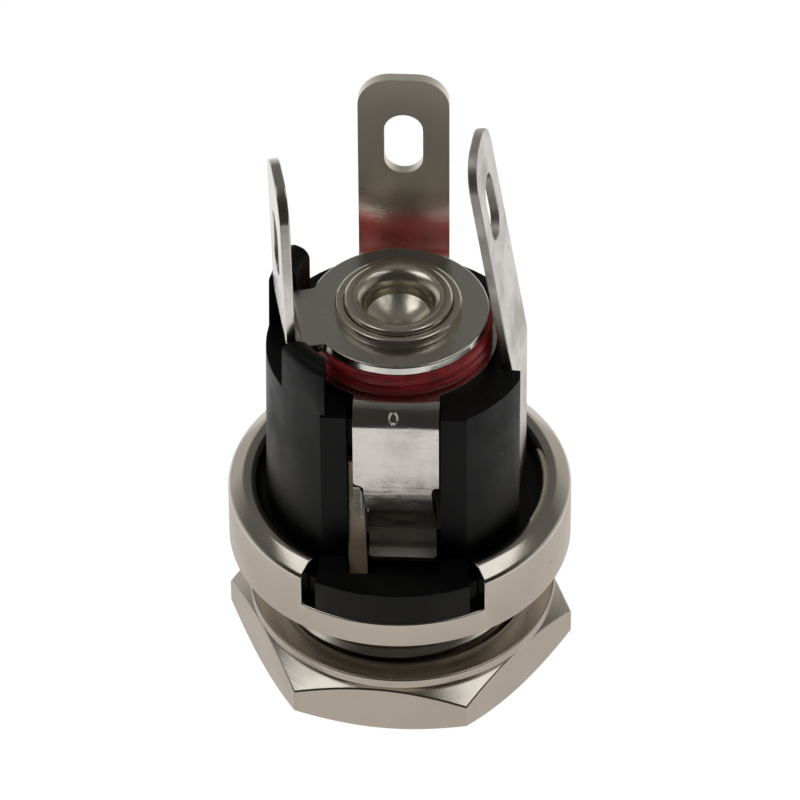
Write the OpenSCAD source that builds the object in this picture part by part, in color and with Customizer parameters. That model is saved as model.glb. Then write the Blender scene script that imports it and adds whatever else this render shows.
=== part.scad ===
// Panel-mount dc power jack for a 5.5 x 2.1 mm barrel plug.
// The nose of the bushing is at z = 0, the plug goes in from below and the lugs point up.
// The front, with the key block and the spring arm, faces -Y.

/* [Bushing] */
// Outside diameter of the thread
thread_d = 11; // [10.6:0.1:12]
// Length from the nose to the underside of the flange
neck_len = 6.5; // [5.5:0.1:9]
// Chamfer at the nose of the thread
nose_chamfer = 0.3; // [0.1:0.05:0.5]
// Bore of the bushing, which takes the insulator's sleeve
bushing_bore_d = 9.1; // [8.6:0.1:9.6]
// Outside diameter of the flange
flange_d = 14.9; // [14.6:0.1:16]
// Thickness of the cup's floor
cup_floor_t = 1.35; // [0.8:0.05:2]
// Thickness of the cup's wall below the rolled lip
cup_wall_t = 0.55; // [0.4:0.05:0.8]
// Height of the wall between the floor and the rolled lip
cup_wall_h = 1.3; // [0.8:0.05:1.6]
// How far the rolled lip reaches in from the flange's outside
lip_reach = 1.35; // [1.1:0.05:1.4]
// Height of the lip's outer corner above its underside
lip_corner_h = 0.27; // [0.2:0.01:0.4]
// Slope of the lip's top, which rises inwards
lip_slope = 32; // [20:1:35]
// Radius of the lip's outer corner
lip_corner_r = 0.3; // [0.2:0.05:0.35]
// Radius of the lip's inner edge
lip_edge_r = 0.4; // [0.25:0.05:0.45]
// Half angle of the key notch
notch_angle = 32; // [30:0.5:36]

/* [Nut] */
// Width across the flats
nut_af = 13; // [12.8:0.1:15]
// Thickness of the nut
nut_t = 2.6; // [1.8:0.1:3]
// Distance from the nose to the nut
nut_gap = 0.4; // [0.1:0.1:1.5]
// Diameter of the flat face inside the corner chamfers
nut_face_d = 12.1; // [11.8:0.1:12.6]
// Angle of the corner chamfers
nut_chamfer_angle = 30; // [15:1:40]
// Turn of the nut about the axis
nut_turn = -5; // [-30:1:30]
// Radial clearance between the nut and the thread
thread_clearance = 0.05; // [0.02:0.01:0.1]

/* [Insulator] */
// Gap between the body and the lip's edge
body_gap = 0.3; // [0.15:0.05:0.5]
// Height of the body from the cup's floor to the deck
body_h = 9.55; // [8.5:0.05:11]
// Draft of the body's side, in degrees
body_draft = 0.8; // [0.3:0.1:1.2]
// Distance from the nose to the end of the sleeve
sleeve_recess = 0.3; // [0.1:0.1:1]
// Clearance between the insulator and the bushing
seat_clearance = 0.05; // [0.02:0.01:0.1]
// Distance from the axis to the front flat
front_flat = 4.9; // [4.7:0.1:5.3]
// Distance from the axis to the side flat
side_flat = 5.25; // [5.2:0.05:5.5]
// Height of the rear post above the deck
rear_post_h = 3; // [2:0.1:4]
// Height of the front post above the deck
front_post_h = 2.45; // [2:0.05:4]
// Thickness of the posts
post_wall = 1.25; // [0.95:0.05:1.3]
// Rounding of the posts' tops
post_round = 0.45; // [0.2:0.05:0.45]
// Angle from +X to the free end of the rear post
rear_post_angle = 149; // [140:1:160]
// Distance from the middle plane to the front post's inner end
front_post_x = 2.9; // [2.3:0.1:3]
// Height of the key block
key_h = 1.6; // [1.2:0.05:2]
// Distance from the axis to the key block's face
key_reach = 7.4; // [7:0.05:7.45]
// Width of the key block at its face
key_w = 6.8; // [5.5:0.1:7]
// Width of the spring slot
slot_w = 4; // [3.9:0.05:4.4]
// Distance from the axis to the slot's outer end in the key block
slot_reach = 6; // [5.6:0.1:6.6]
// Height of the slot's floor above the cup's floor
slot_floor_h = 0.8; // [0.75:0.05:0.95]
// Height of the window that lets the spring into the plug opening
window_h = 3.7; // [3.4:0.1:4]

/* [Plug opening] */
// Diameter of the opening for the plug's barrel
plug_bore_d = 6.3; // [5.8:0.1:6.6]
// Depth of the opening
plug_bore_depth = 13; // [12.6:0.1:14]

/* [Centre pin] */
// Diameter of the pin
pin_d = 2.1; // [1.9:0.1:2.5]
// Distance from the nose to the pin's tip
pin_recess = 1; // [0.3:0.1:3]
// Diameter of the shoulder that seats in the plug opening
shoulder_d = 4.6; // [3.8:0.1:5]
// Thickness of the shoulder
shoulder_t = 0.8; // [0.4:0.1:1.2]
// Diameter of the tail that goes up through the stack
tail_d = 3.4; // [3.2:0.1:3.5]
// Diameter of the drilled hole in the tail
tail_bore_d = 2.7; // [2.4:0.1:2.8]
// Straight length of the drilled hole below the funnel
tail_bore_l = 0.1; // [0.05:0.05:1]
// Slope of the drilled hole's conical bottom
drill_slope = 31; // [28:1:35]
// Diameter of the flared end
flare_d = 4.64; // [4.4:0.02:4.7]
// Height of the flared end
flare_h = 0.5; // [0.4:0.05:0.7]
// Diameter of the funnel at the top of the flare
funnel_d = 3.9; // [3.6:0.1:4]
// Depth of the funnel
funnel_h = 0.95; // [0.7:0.05:1.2]
// Clearance around the tail
tail_clearance = 0.03; // [0.01:0.01:0.1]

/* [Rivet cup] */
// Thickness of the cup's rim, outside the flare
cup_rim_t = 0.35; // [0.2:0.01:0.5]
// Height of the cup's rim
cup_h = 0.45; // [0.3:0.05:0.5]
// Thickness of the cup's floor
cup_t = 0.15; // [0.1:0.05:0.25]

/* [Washers] */
// Diameter of the fibre washers
washer_d = 8.1; // [7.9:0.1:8.6]
// Thickness of each fibre washer
washer_t = 0.55; // [0.4:0.05:0.8]

/* [Terminals] */
// Thickness of the pin terminal and the sleeve terminal
sheet_t = 0.45; // [0.35:0.05:0.5]
// Thickness of the shunt terminal
shunt_t = 0.4; // [0.3:0.05:0.4]
// Width of the lugs and arms
lug_w = 3.65; // [3.3:0.05:3.75]
// Radius of the lugs' top corners
lug_corner_r = 1.4; // [0.5:0.1:1.6]
// Width of the wire slots
wire_slot_w = 1.66; // [1.2:0.02:2]
// Length of the wire slots
wire_slot_l = 3.2; // [2.4:0.1:4]
// Distance from the top of the sleeve and shunt lugs to the middle of the wire slot
wire_slot_drop = 3.5; // [3:0.1:4.5]
// Distance from the top of the pin lug to the middle of its wire slot
pin_slot_drop = 3.9; // [3:0.1:4.5]
// Inside radius of the bends
bend_r = 0.5; // [0.3:0.05:0.7]
// Clearance between the arms and the insulator
arm_clearance = 0.15; // [0.1:0.05:0.25]

/* [Pin terminal] */
// Diameter of the pin terminal's plate
pin_plate_d = 7.7; // [7.2:0.1:8.2]
// Distance from the axis to the pin lug's outer face
pin_lug_reach = 5.08; // [5:0.02:5.4]
// Height of the pin lug above its plate
pin_lug_h = 8.2; // [7:0.1:11]
// Turn of the pin arm from -X towards the front
pin_arm_turn = 11.5; // [8:0.5:14]
// Outward lean of the pin lug
pin_lug_lean = 1.4; // [0:0.1:3]

/* [Sleeve terminal] */
// Diameter of the sleeve terminal's plate
sleeve_plate_d = 8.4; // [7.9:0.1:8.7]
// Distance from the axis to the sleeve lug's front face
sleeve_lug_reach = 5.05; // [5:0.05:5.6]
// Width of the sleeve lug
sleeve_lug_w = 3.9; // [3.5:0.05:4.2]
// Height of the sleeve lug above its plate
sleeve_lug_h = 9.85; // [8:0.05:12]
// Distance from the axis to the outer face of the spring's leg
spring_reach = 5; // [4.95:0.05:5.1]
// Length of the leg's straight run below the plate
leg_len = 4.2; // [3.8:0.1:4.6]
// Distance from the axis to the inner face of the spring's nose
spring_nose_r = 2.65; // [2.5:0.05:2.9]
// Height of the nose above the spring's tip
nose_above_tip = 1.55; // [1.3:0.05:1.8]
// Height of the spring's tip above the slot's floor
tip_gap = 0.3; // [0.2:0.05:0.6]
// Offset of the leg from the middle plane
leg_offset = 0.1; // [0:0.01:0.12]
// Width of the spring's nose
nose_w = 2.8; // [2.4:0.05:2.85]
// Offset of the nose's root from the middle plane
nose_offset = 0.19; // [0.15:0.01:0.25]
// Sideways lean of the nose
nose_lean = 2.7; // [1:0.1:3]
// Length of the ear beside the nose
ear_len = 1.4; // [1:0.05:1.5]
// Slit between the ear and the nose
ear_slit = 0.05; // [0.03:0.01:0.1]

/* [Shunt terminal] */
// Distance from the axis to the shunt blade's outer face
blade_reach = 5.15; // [5.05:0.05:5.2]
// Offset of the shunt blade along the side of the body, towards the back
blade_offset = 0.97; // [0.6:0.01:1.1]
// Turn of the shunt blade
blade_turn = 6.3; // [4:0.1:8]
// Inward lean of the shunt lug
shunt_lug_lean = 8.8; // [5:0.1:10]
// Height of the shunt lug above the deck
shunt_lug_h = 10.75; // [9:0.05:13]
// Depth of the lean's start below the deck
lean_drop = 0.9; // [0.3:0.1:1.5]
// Height of the leaf above the slot's floor
leaf_h = 5.95; // [5:0.05:6.5]
// Distance from the axis to the leaf's face at the slot's floor
leaf_foot = 5.2; // [5:0.05:5.3]
// Width of the leaf at the slot's floor
leaf_w = 0.84; // [0.5:0.01:0.86]
// Gap between the leaf and the spring's leg
contact_gap = 0.04; // [0.02:0.01:0.08]
// Outer radius of the web moulded into the insulator
web_outer_r = 5.5; // [5.3:0.1:5.7]
// Width of the web moulded into the insulator
web_w = 1.1; // [0.9:0.05:1.3]
// Depth of the web below the slot's floor
web_drop = 0.15; // [0.1:0.05:0.2]

/* [Hidden] */

$fn = 96;
eps = 0.01;
far = 30;

nickel = [0.74, 0.71, 0.66];
plate_grey = [0.45, 0.44, 0.42];
black = [0.13, 0.13, 0.13];
fibre_red = [0.55, 0.12, 0.12];

// Heights, from the nose up
floor_z = neck_len + cup_floor_t;
lip_z = floor_z + cup_wall_h;
base_top = lip_z - seat_clearance;
lip_corner_z = lip_z + lip_corner_h;
slot_floor_z = floor_z + slot_floor_h;
deck_z = floor_z + body_h;
sleeve_plate_top = deck_z + sheet_t;
lower_washer_top = sleeve_plate_top + washer_t;
upper_washer_top = lower_washer_top + washer_t;
pin_plate_top = upper_washer_top + sheet_t;
cup_floor_top = pin_plate_top + cup_t;
flare_top = cup_floor_top + flare_h;

// Radii
flange_r = flange_d / 2;
cup_r = flange_r - cup_wall_t;
body_r = flange_r - lip_reach - body_gap;
sleeve_r = bushing_bore_d / 2 - seat_clearance;
tail_r = tail_d / 2;
tail_hole_r = tail_r + tail_clearance;
boss_r = shoulder_d / 2;
bend_mid_r = bend_r + sheet_t / 2;

// Arm slot, leaf and tip, which follow the terminals
arm_slot_w = lug_w + 2 * arm_clearance;
leg_z = deck_z - leg_len;
leaf_face = spring_reach - sheet_t - contact_gap;
leaf_back = leaf_face - shunt_t;
leaf_bend_z = leg_z - ear_len;
leaf_top = slot_floor_z + leaf_h;
leaf_left = -slot_w / 2 + contact_gap;
slot_back = min(leaf_back, spring_reach - sheet_t - bend_r) - contact_gap;
lean_r = 3;
lean_z = deck_z - lean_drop;
relief_drop = lean_r * tan(shunt_lug_lean / 2);
relief_x = blade_reach - shunt_t / cos(shunt_lug_lean) - lean_drop * tan(shunt_lug_lean) - contact_gap;
web_top = slot_floor_z - web_drop;
web_z = web_top - shunt_t;
tip_z = slot_floor_z + tip_gap;
window_left = nose_offset - nose_w / 2 - arm_clearance;

// Sideways place of the nose's edge at height z, on side -1 or 1
function nose_edge(side, z) = nose_offset + side * nose_w / 2 + (leg_z - z) * tan(nose_lean);

// ---- Helper functions ----

function unit(v) = v / norm(v);

function turn_between(a, b) = let (d = b - a) d > 180 ? d - 360 : d < -180 ? d + 360 : d;

// Points of an arc of radius r that rounds the corner b between a and c
function corner_arc(a, b, c, r, n = 8) =
    let (u = unit(a - b))
    let (v = unit(c - b))
    let (half = acos(u * v) / 2)
    let (centre = b + unit(u + v) * r / sin(half))
    let (p = b + u * r / tan(half) - centre)
    let (q = b + v * r / tan(half) - centre)
    let (start = atan2(p[1], p[0]))
    let (sweep = turn_between(start, atan2(q[1], q[0])))
    [for (i = [0:n]) centre + r * [cos(start + sweep * i / n), sin(start + sweep * i / n)]];

// A path whose inner corners are rounded, one radius each
function rounded_path(points, radii) = [
    points[0],
    for (i = [1:len(points) - 2])
        each corner_arc(points[i - 1], points[i], points[i + 1], radii[i - 1]),
    points[len(points) - 1]
];

// Sideways direction of a path at its point i, scaled so that the sheet keeps its thickness
function side_at(path, i) =
    let (before = unit(path[max(i, 1)] - path[max(i, 1) - 1]))
    let (last = len(path) - 1)
    let (after = unit(path[min(i, last - 1) + 1] - path[min(i, last - 1)]))
    let (mean = unit(before + after))
    [-mean[1], mean[0]] / (mean * before);

// Outline of a bent sheet of thickness t along a path
function sheet_outline(path, t) = concat(
    [for (i = [0:len(path) - 1]) path[i] + side_at(path, i) * t / 2],
    [for (i = [len(path) - 1:-1:0]) path[i] - side_at(path, i) * t / 2]
);

// ---- Helper shapes ----

// A sheet of width w and thickness t bent along a path in the plane of +X and +Z
module bent_sheet(path, w, t) {
    rotate([90, 0, 0])
        linear_extrude(height = w, center = true)
            polygon(sheet_outline(path, t));
}

// Everything that a lug of width w keeps: all below its top, less its two rounded corners
module lug_limits(top, w = lug_w) {
    rotate([90, 0, 90])
        linear_extrude(height = far, center = true) {
            translate([-w / 2, -far])
                square([w, top - lug_corner_r + far]);
            translate([-w / 2 + lug_corner_r, -far])
                square([w - 2 * lug_corner_r, top + far]);
            for (side = [-1, 1])
                translate([side * (w / 2 - lug_corner_r), top - lug_corner_r])
                    circle(r = lug_corner_r);
        }
}

// Wire slot through a lug, with its middle at height z
module wire_slot(z) {
    straight = wire_slot_l - wire_slot_w;
    translate([0, 0, z])
        rotate([90, 0, 90])
            linear_extrude(height = 3, center = true) {
                square([wire_slot_w, straight], center = true);
                for (side = [-1, 1])
                    translate([0, side * straight / 2])
                        circle(d = wire_slot_w);
            }
}

// A sector seen from above, out to radius r, from angle a to angle b
module sector(r, a, b, z, h) {
    steps = ceil((b - a) / 30);
    translate([0, 0, z])
        linear_extrude(height = h)
            polygon(concat(
                [[0, 0]],
                [for (i = [0:steps]) let (t = a + (b - a) * i / steps) r * [cos(t), sin(t)]]
            ));
}

module ring(outer, inner, z, h) {
    translate([0, 0, z])
        difference() {
            cylinder(r = outer, h = h);
            translate([0, 0, -eps])
                cylinder(r = inner, h = h + 2 * eps);
        }
}

// ---- Sub-parts ----

module bushing() {
    thread_r = thread_d / 2;
    bore_r = bushing_bore_d / 2;
    lip_inner_r = flange_r - lip_reach;
    color(nickel)
        difference() {
            rotate_extrude()
                polygon(concat(
                    [
                        [bore_r, 0],
                        [thread_r - nose_chamfer, 0],
                        [thread_r, nose_chamfer],
                        [thread_r, neck_len]
                    ],
                    rounded_path(
                        [
                            [flange_r, neck_len],
                            [flange_r, lip_corner_z],
                            [lip_inner_r, lip_corner_z + lip_reach * tan(lip_slope)],
                            [lip_inner_r, floor_z]
                        ],
                        [lip_corner_r, lip_edge_r]
                    ),
                    [[bore_r, floor_z]]
                ));
            // Cup under the lip
            translate([0, 0, floor_z])
                cylinder(r = cup_r, h = cup_wall_h);
            // Key notch
            sector(2 * flange_r, 270 - notch_angle, 270 + notch_angle, floor_z, far);
        }
}

module hex_nut() {
    bore_r = thread_d / 2 + thread_clearance;
    face_r = nut_face_d / 2;
    fall = (nut_af - face_r) * tan(nut_chamfer_angle);
    color(nickel)
        translate([0, 0, nut_gap])
            rotate([0, 0, nut_turn])
                difference() {
                    intersection() {
                        cylinder(d = nut_af / cos(30), h = nut_t, $fn = 6);
                        rotate_extrude()
                            polygon([
                                [0, 0],
                                [face_r, 0],
                                [nut_af, fall],
                                [nut_af, nut_t - fall],
                                [face_r, nut_t],
                                [0, nut_t]
                            ]);
                    }
                    translate([0, 0, -eps])
                        cylinder(r = bore_r, h = nut_t + 2 * eps);
                }
}

// Places a shape drawn in the shunt blade's own directions
module blade_frame() {
    rotate([0, 0, -blade_turn])
        translate([0, blade_offset, 0])
            children();
}

// What the shunt terminal takes out of the insulator
module shunt_pockets() {
    // Pocket down the side of the body, open to the outside
    blade_frame()
        translate([blade_reach - shunt_t - contact_gap, -lug_w / 2 - arm_clearance, base_top])
            cube([far, lug_w + 2 * arm_clearance, far]);
    // Relief where the lug starts to lean in
    blade_frame()
        translate([relief_x, -lug_w / 2 - arm_clearance, lean_z - relief_drop])
            cube([far, lug_w + 2 * arm_clearance, far]);
    // Moulded round the blade's foot, the web and the leaf's foot
    blade_frame()
        translate([blade_reach - shunt_t, -lug_w / 2, web_z])
            cube([shunt_t, lug_w, base_top]);
    shunt_web();
    leaf();
}

module insulator() {
    flat_half_w = sqrt(body_r * body_r - front_flat * front_flat);
    color(black)
        difference() {
            union() {
                // Sleeve inside the bushing
                translate([0, 0, sleeve_recess])
                    cylinder(r = sleeve_r, h = floor_z - sleeve_recess + eps);
                // Base ring under the rolled lip
                translate([0, 0, floor_z])
                    cylinder(r = cup_r - seat_clearance, h = base_top - floor_z);
                // Body with its front and side flats, and the posts beside the pin arm
                difference() {
                    union() {
                        intersection() {
                            body_cone();
                            union() {
                                cylinder(r = far, h = deck_z);
                                posts();
                            }
                        }
                        translate([-flat_half_w, -body_r, floor_z])
                            cube([2 * flat_half_w, body_r - front_flat + 1, body_h]);
                    }
                    translate([-far / 2, -far - front_flat, floor_z + key_h - eps])
                        cube([far, far, far]);
                    translate([side_flat, -far / 2, base_top - eps])
                        cube([far, far, far]);
                }
                // Key block
                intersection() {
                    translate([0, 0, floor_z])
                        cylinder(r = key_reach, h = key_h);
                    translate([0, 0, floor_z])
                        linear_extrude(height = key_h)
                            polygon([
                                [-flat_half_w, -front_flat + 1],
                                [-flat_half_w, -front_flat],
                                [-key_w / 2, -key_reach],
                                [key_w / 2, -key_reach],
                                [flat_half_w, -front_flat],
                                [flat_half_w, -front_flat + 1]
                            ]);
                }
                // Boss inside the sleeve terminal's plate
                translate([0, 0, deck_z - eps])
                    cylinder(r = boss_r - arm_clearance, h = sheet_t + eps);
            }
            // Plug opening
            translate([0, 0, -eps])
                cylinder(d = plug_bore_d, h = plug_bore_depth + eps);
            // Hole for the pin's tail
            cylinder(r = tail_hole_r, h = far);
            // Spring slot, open at the top and into the key block
            translate([-slot_w / 2, -slot_reach, slot_floor_z])
                cube([slot_w, slot_reach - slot_back, far]);
            // Window from the slot to the plug opening
            translate([window_left, -slot_back - eps, tip_z])
                cube([slot_w / 2 - window_left, slot_back, window_h]);
            shunt_pockets();
        }
}

// Drafted outside of the body, as tall as the tallest post
module body_cone() {
    h = body_h + max(rear_post_h, front_post_h);
    translate([0, 0, floor_z])
        cylinder(r1 = body_r, r2 = body_r - h * tan(body_draft), h = h);
}

// One post from angle a to angle b, open to the outside below its rounded top
module post(a, b, h) {
    low = deck_z - eps;
    top = deck_z + h;
    inner = body_r - post_wall;
    outer = body_r - (body_h + h) * tan(body_draft);
    intersection() {
        sector(far, a, b, low, h + 2 * eps);
        rotate_extrude()
            polygon(concat(
                rounded_path(
                    [[inner, low - eps], [inner, top], [outer, top], [outer, top - post_round]],
                    [post_round, post_round - eps]
                ),
                [[far, top - post_round], [far, low - eps]]
            ));
    }
}

// The rear post and the front post, with the pin arm's gap between them
module posts() {
    arm_angle = 180 + pin_arm_turn;
    difference() {
        union() {
            post(rear_post_angle, arm_angle, rear_post_h);
            post(arm_angle, 270, front_post_h);
        }
        // The front post ends short of the spring
        translate([-front_post_x, -far, 0])
            cube([far, far, far]);
        // Gap for the arm
        rotate([0, 0, arm_angle])
            translate([0, -arm_slot_w / 2, deck_z])
                cube([far, arm_slot_w, far]);
    }
}

module centre_pin() {
    pin_r = pin_d / 2;
    bore_r = tail_bore_d / 2;
    flare_r = flare_d / 2;
    funnel_r = funnel_d / 2;
    crease_z = flare_top - funnel_h;
    bore_z = crease_z - tail_bore_l;
    edge_w = flare_r - funnel_r;
    shoulder_z = plug_bore_depth - shoulder_t;
    color(nickel)
        rotate_extrude()
            polygon(concat(
                [[0, pin_recess]],
                [for (a = [0:15:90]) pin_r * [sin(a), 0] + [0, pin_recess + pin_r * 0.6 * (1 - cos(a))]],
                [
                    [pin_r, shoulder_z],
                    [shoulder_d / 2, shoulder_z],
                    [shoulder_d / 2, plug_bore_depth],
                    [tail_r, plug_bore_depth],
                    [tail_r, cup_floor_top],
                    [flare_r - edge_w / 4, cup_floor_top],
                    [flare_r, cup_floor_top + edge_w / 4],
                    [flare_r, flare_top - edge_w / 2],
                    [flare_r - edge_w / 4, flare_top - edge_w / 4],
                    [funnel_r + edge_w / 4, flare_top]
                ],
                [
                    for (a = [90:-15:0])
                        [funnel_r - (funnel_r - bore_r) * cos(a), crease_z + funnel_h * sin(a)]
                ],
                [
                    [bore_r, bore_z],
                    [0, bore_z - bore_r * tan(drill_slope)]
                ]
            ));
}

module rivet_cup() {
    inner = flare_d / 2 + tail_clearance;
    outer = inner + cup_rim_t;
    color(nickel)
        rotate_extrude()
            polygon([
                [tail_hole_r, pin_plate_top],
                [outer, pin_plate_top],
                [outer, pin_plate_top + cup_h - cup_rim_t / 4],
                [outer - cup_rim_t / 4, pin_plate_top + cup_h],
                [inner, pin_plate_top + cup_h],
                [inner, cup_floor_top],
                [tail_hole_r, cup_floor_top]
            ]);
}

module pin_terminal() {
    plate_mid = pin_plate_top - sheet_t / 2;
    top = pin_plate_top + pin_lug_h;
    foot = pin_lug_reach - sheet_t / 2;
    path = rounded_path(
        [[0, plate_mid], [foot, plate_mid], [foot + pin_lug_h * tan(pin_lug_lean), top + 1]],
        [bend_mid_r]
    );
    color(plate_grey)
        difference() {
            union() {
                translate([0, 0, pin_plate_top - sheet_t])
                    cylinder(d = pin_plate_d, h = sheet_t);
                rotate([0, 0, 180 + pin_arm_turn])
                    difference() {
                        intersection() {
                            bent_sheet(path, lug_w, sheet_t);
                            lug_limits(top);
                        }
                        translate([foot, 0, 0])
                            wire_slot(top - pin_slot_drop);
                    }
            }
            cylinder(r = tail_hole_r, h = far);
        }
}

module upper_washer() {
    color(fibre_red)
        ring(washer_d / 2, tail_hole_r, lower_washer_top, washer_t);
}

module lower_washer() {
    color(fibre_red)
        ring(washer_d / 2, tail_hole_r, sleeve_plate_top, washer_t);
}

module sleeve_terminal() {
    plate_mid = sleeve_plate_top - sheet_t / 2;
    top = sleeve_plate_top + sleeve_lug_h;
    lug_mid = sleeve_lug_reach + sheet_t / 2;
    leg_mid = spring_reach - sheet_t / 2;
    nose_mid = spring_nose_r + sheet_t / 2;
    heel = leg_mid - 0.4;
    lug_path = rounded_path(
        [[0, plate_mid], [lug_mid, plate_mid], [lug_mid, top + 1]],
        [bend_mid_r]
    );
    spring_path = rounded_path(
        [
            [0, plate_mid],
            [leg_mid, plate_mid],
            [leg_mid, leg_z],
            [nose_mid, tip_z + nose_above_tip],
            [heel, tip_z + 0.35],
            [heel + 0.05, tip_z]
        ],
        [bend_mid_r, 1, 0.5, 0.35]
    );
    color(nickel)
        difference() {
            union() {
                translate([0, 0, deck_z])
                    cylinder(d = sleeve_plate_d, h = sheet_t);
                rotate([0, 0, 90])
                    intersection() {
                        bent_sheet(lug_path, sleeve_lug_w, sheet_t);
                        lug_limits(top, sleeve_lug_w);
                    }
                translate([leg_offset, 0, 0])
                    rotate([0, 0, -90])
                        bent_sheet(spring_path, lug_w, sheet_t);
            }
            translate([0, 0, deck_z - eps])
                cylinder(r = boss_r, h = far);
            translate([0, lug_mid, 0])
                rotate([0, 0, 90])
                    wire_slot(top - wire_slot_drop);
            nose_cuts();
        }
    color(nickel)
        ear();
}

// Cuts the spring down to the width of its nose
module nose_cuts() {
    rotate([90, 0, 0])
        linear_extrude(height = far)
            for (side = [-1, 1])
                polygon([
                    [nose_edge(side, 0), 0],
                    [nose_edge(side, leg_z), leg_z],
                    [nose_edge(side, leg_z) + side * 0.15, leg_z + 0.15],
                    [side * far, leg_z + 0.15],
                    [side * far, 0]
                ]);
}

// Ear to the left of the nose, which stays flat and rests on the leaf
module ear() {
    left = leg_offset - lug_w / 2;
    right = nose_offset - nose_w / 2 - ear_slit;
    low = leg_z - ear_len;
    translate([0, -spring_reach + sheet_t, 0])
        rotate([90, 0, 0])
            linear_extrude(height = sheet_t)
                polygon([
                    [left, leg_z + 0.3],
                    [left, leg_z - ear_len * 0.4],
                    [left + 0.12, leg_z - ear_len * 0.7],
                    [right - 0.1, low + 0.05],
                    [right, low],
                    [right, leg_z],
                    [right - 0.12, leg_z + 0.3]
                ]);
}

// Web that joins the shunt blade to the leaf under the slot's floor
module shunt_web() {
    intersection() {
        ring(web_outer_r, web_outer_r - web_w, web_z, shunt_t);
        sector(far, -113, 24, web_z - 1, 3);
    }
}

// Leaf that leans in from its foot, then stands straight behind the ear
module leaf() {
    lean = atan((leaf_foot - leaf_face) / (leaf_bend_z - slot_floor_z));
    foot = leaf_foot - shunt_t / 2;
    mid = leaf_face - shunt_t / 2;
    path = rounded_path(
        [
            [foot + (slot_floor_z - web_z) * tan(lean), web_z],
            [mid, leaf_bend_z],
            [mid, leaf_top]
        ],
        [1]
    );
    right = leaf_left + leaf_w;
    intersection() {
        rotate([0, 0, -90])
            bent_sheet(path, slot_w, shunt_t);
        rotate([90, 0, 0])
            linear_extrude(height = far)
                polygon([
                    [leaf_left, web_z],
                    [right, web_z],
                    [right - (leaf_top - slot_floor_z) * tan(nose_lean), leaf_top],
                    [leaf_left, leaf_top]
                ]);
    }
}

module shunt_terminal() {
    blade_mid = blade_reach - shunt_t / 2;
    top = deck_z + shunt_lug_h;
    path = rounded_path(
        [
            [blade_mid, web_z],
            [blade_mid, lean_z],
            [blade_mid - (top + 1 - lean_z) * tan(shunt_lug_lean), top + 1]
        ],
        [lean_r]
    );
    slot_z = top - wire_slot_drop;
    color(nickel) {
        shunt_web();
        leaf();
        blade_frame()
            difference() {
                intersection() {
                    bent_sheet(path, lug_w, shunt_t);
                    lug_limits(top);
                }
                translate([blade_mid - (slot_z - lean_z) * tan(shunt_lug_lean), 0, 0])
                    wire_slot(slot_z);
            }
    }
}

bushing();
hex_nut();
insulator();
centre_pin();
rivet_cup();
pin_terminal();
upper_washer();
lower_washer();
sleeve_terminal();
shunt_terminal();
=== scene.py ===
"""Finishes the panel-mount dc power jack: rounded metal, plastic, fibre washers and a plain studio."""

import math

import bmesh
import bpy
from bpy.props import FloatProperty, FloatVectorProperty, IntProperty, PointerProperty
from mathutils import Matrix, Vector
from mathutils.geometry import delaunay_2d_cdt


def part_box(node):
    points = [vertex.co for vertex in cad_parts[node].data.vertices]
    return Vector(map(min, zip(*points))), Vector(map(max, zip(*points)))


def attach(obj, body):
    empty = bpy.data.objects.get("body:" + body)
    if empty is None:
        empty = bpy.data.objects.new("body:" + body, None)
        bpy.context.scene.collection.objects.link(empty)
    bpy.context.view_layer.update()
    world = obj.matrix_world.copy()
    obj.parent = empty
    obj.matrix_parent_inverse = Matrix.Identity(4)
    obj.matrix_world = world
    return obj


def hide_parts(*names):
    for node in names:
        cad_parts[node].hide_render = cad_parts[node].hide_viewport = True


bl_info = {
    "name": "DC power jack",
    "version": (1, 0, 0),
    "blender": (4, 5, 0),
    "location": "View3D > Sidebar > Jack",
    "description": "Builds the finished pieces of a panel-mount dc power jack over its exact solids",
    "category": "Object",
}

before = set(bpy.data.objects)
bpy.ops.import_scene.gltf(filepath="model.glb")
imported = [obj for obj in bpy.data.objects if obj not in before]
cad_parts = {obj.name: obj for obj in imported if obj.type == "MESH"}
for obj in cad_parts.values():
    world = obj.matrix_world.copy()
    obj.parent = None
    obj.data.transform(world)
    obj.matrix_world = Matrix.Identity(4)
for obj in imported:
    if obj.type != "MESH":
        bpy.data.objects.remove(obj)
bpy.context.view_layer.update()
MM = 0.001
SAME_POINT = 2e-7  # points nearer than this, in metres, become one


def span(node, axis):
    """Length of a solid along an axis, in metres."""
    low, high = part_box(node)
    return high[axis] - low[axis]


def heights(node):
    """Heights of a solid's foot and top."""
    low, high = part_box(node)
    return low.z, high.z


def length(name, default, description):
    """Property for a length, with its default in millimetres."""
    return FloatProperty(name=name, description=description, default=default * MM, unit="LENGTH", precision=5)


def angle(name, degrees, description):
    return FloatProperty(name=name, description=description, default=math.radians(degrees), subtype="ANGLE")


def colour(name, default, description):
    return FloatVectorProperty(
        name=name, description=description, default=default, subtype="COLOR", size=3, min=0, max=1
    )


# ---- Sizes and colours that a user would change ----


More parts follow.
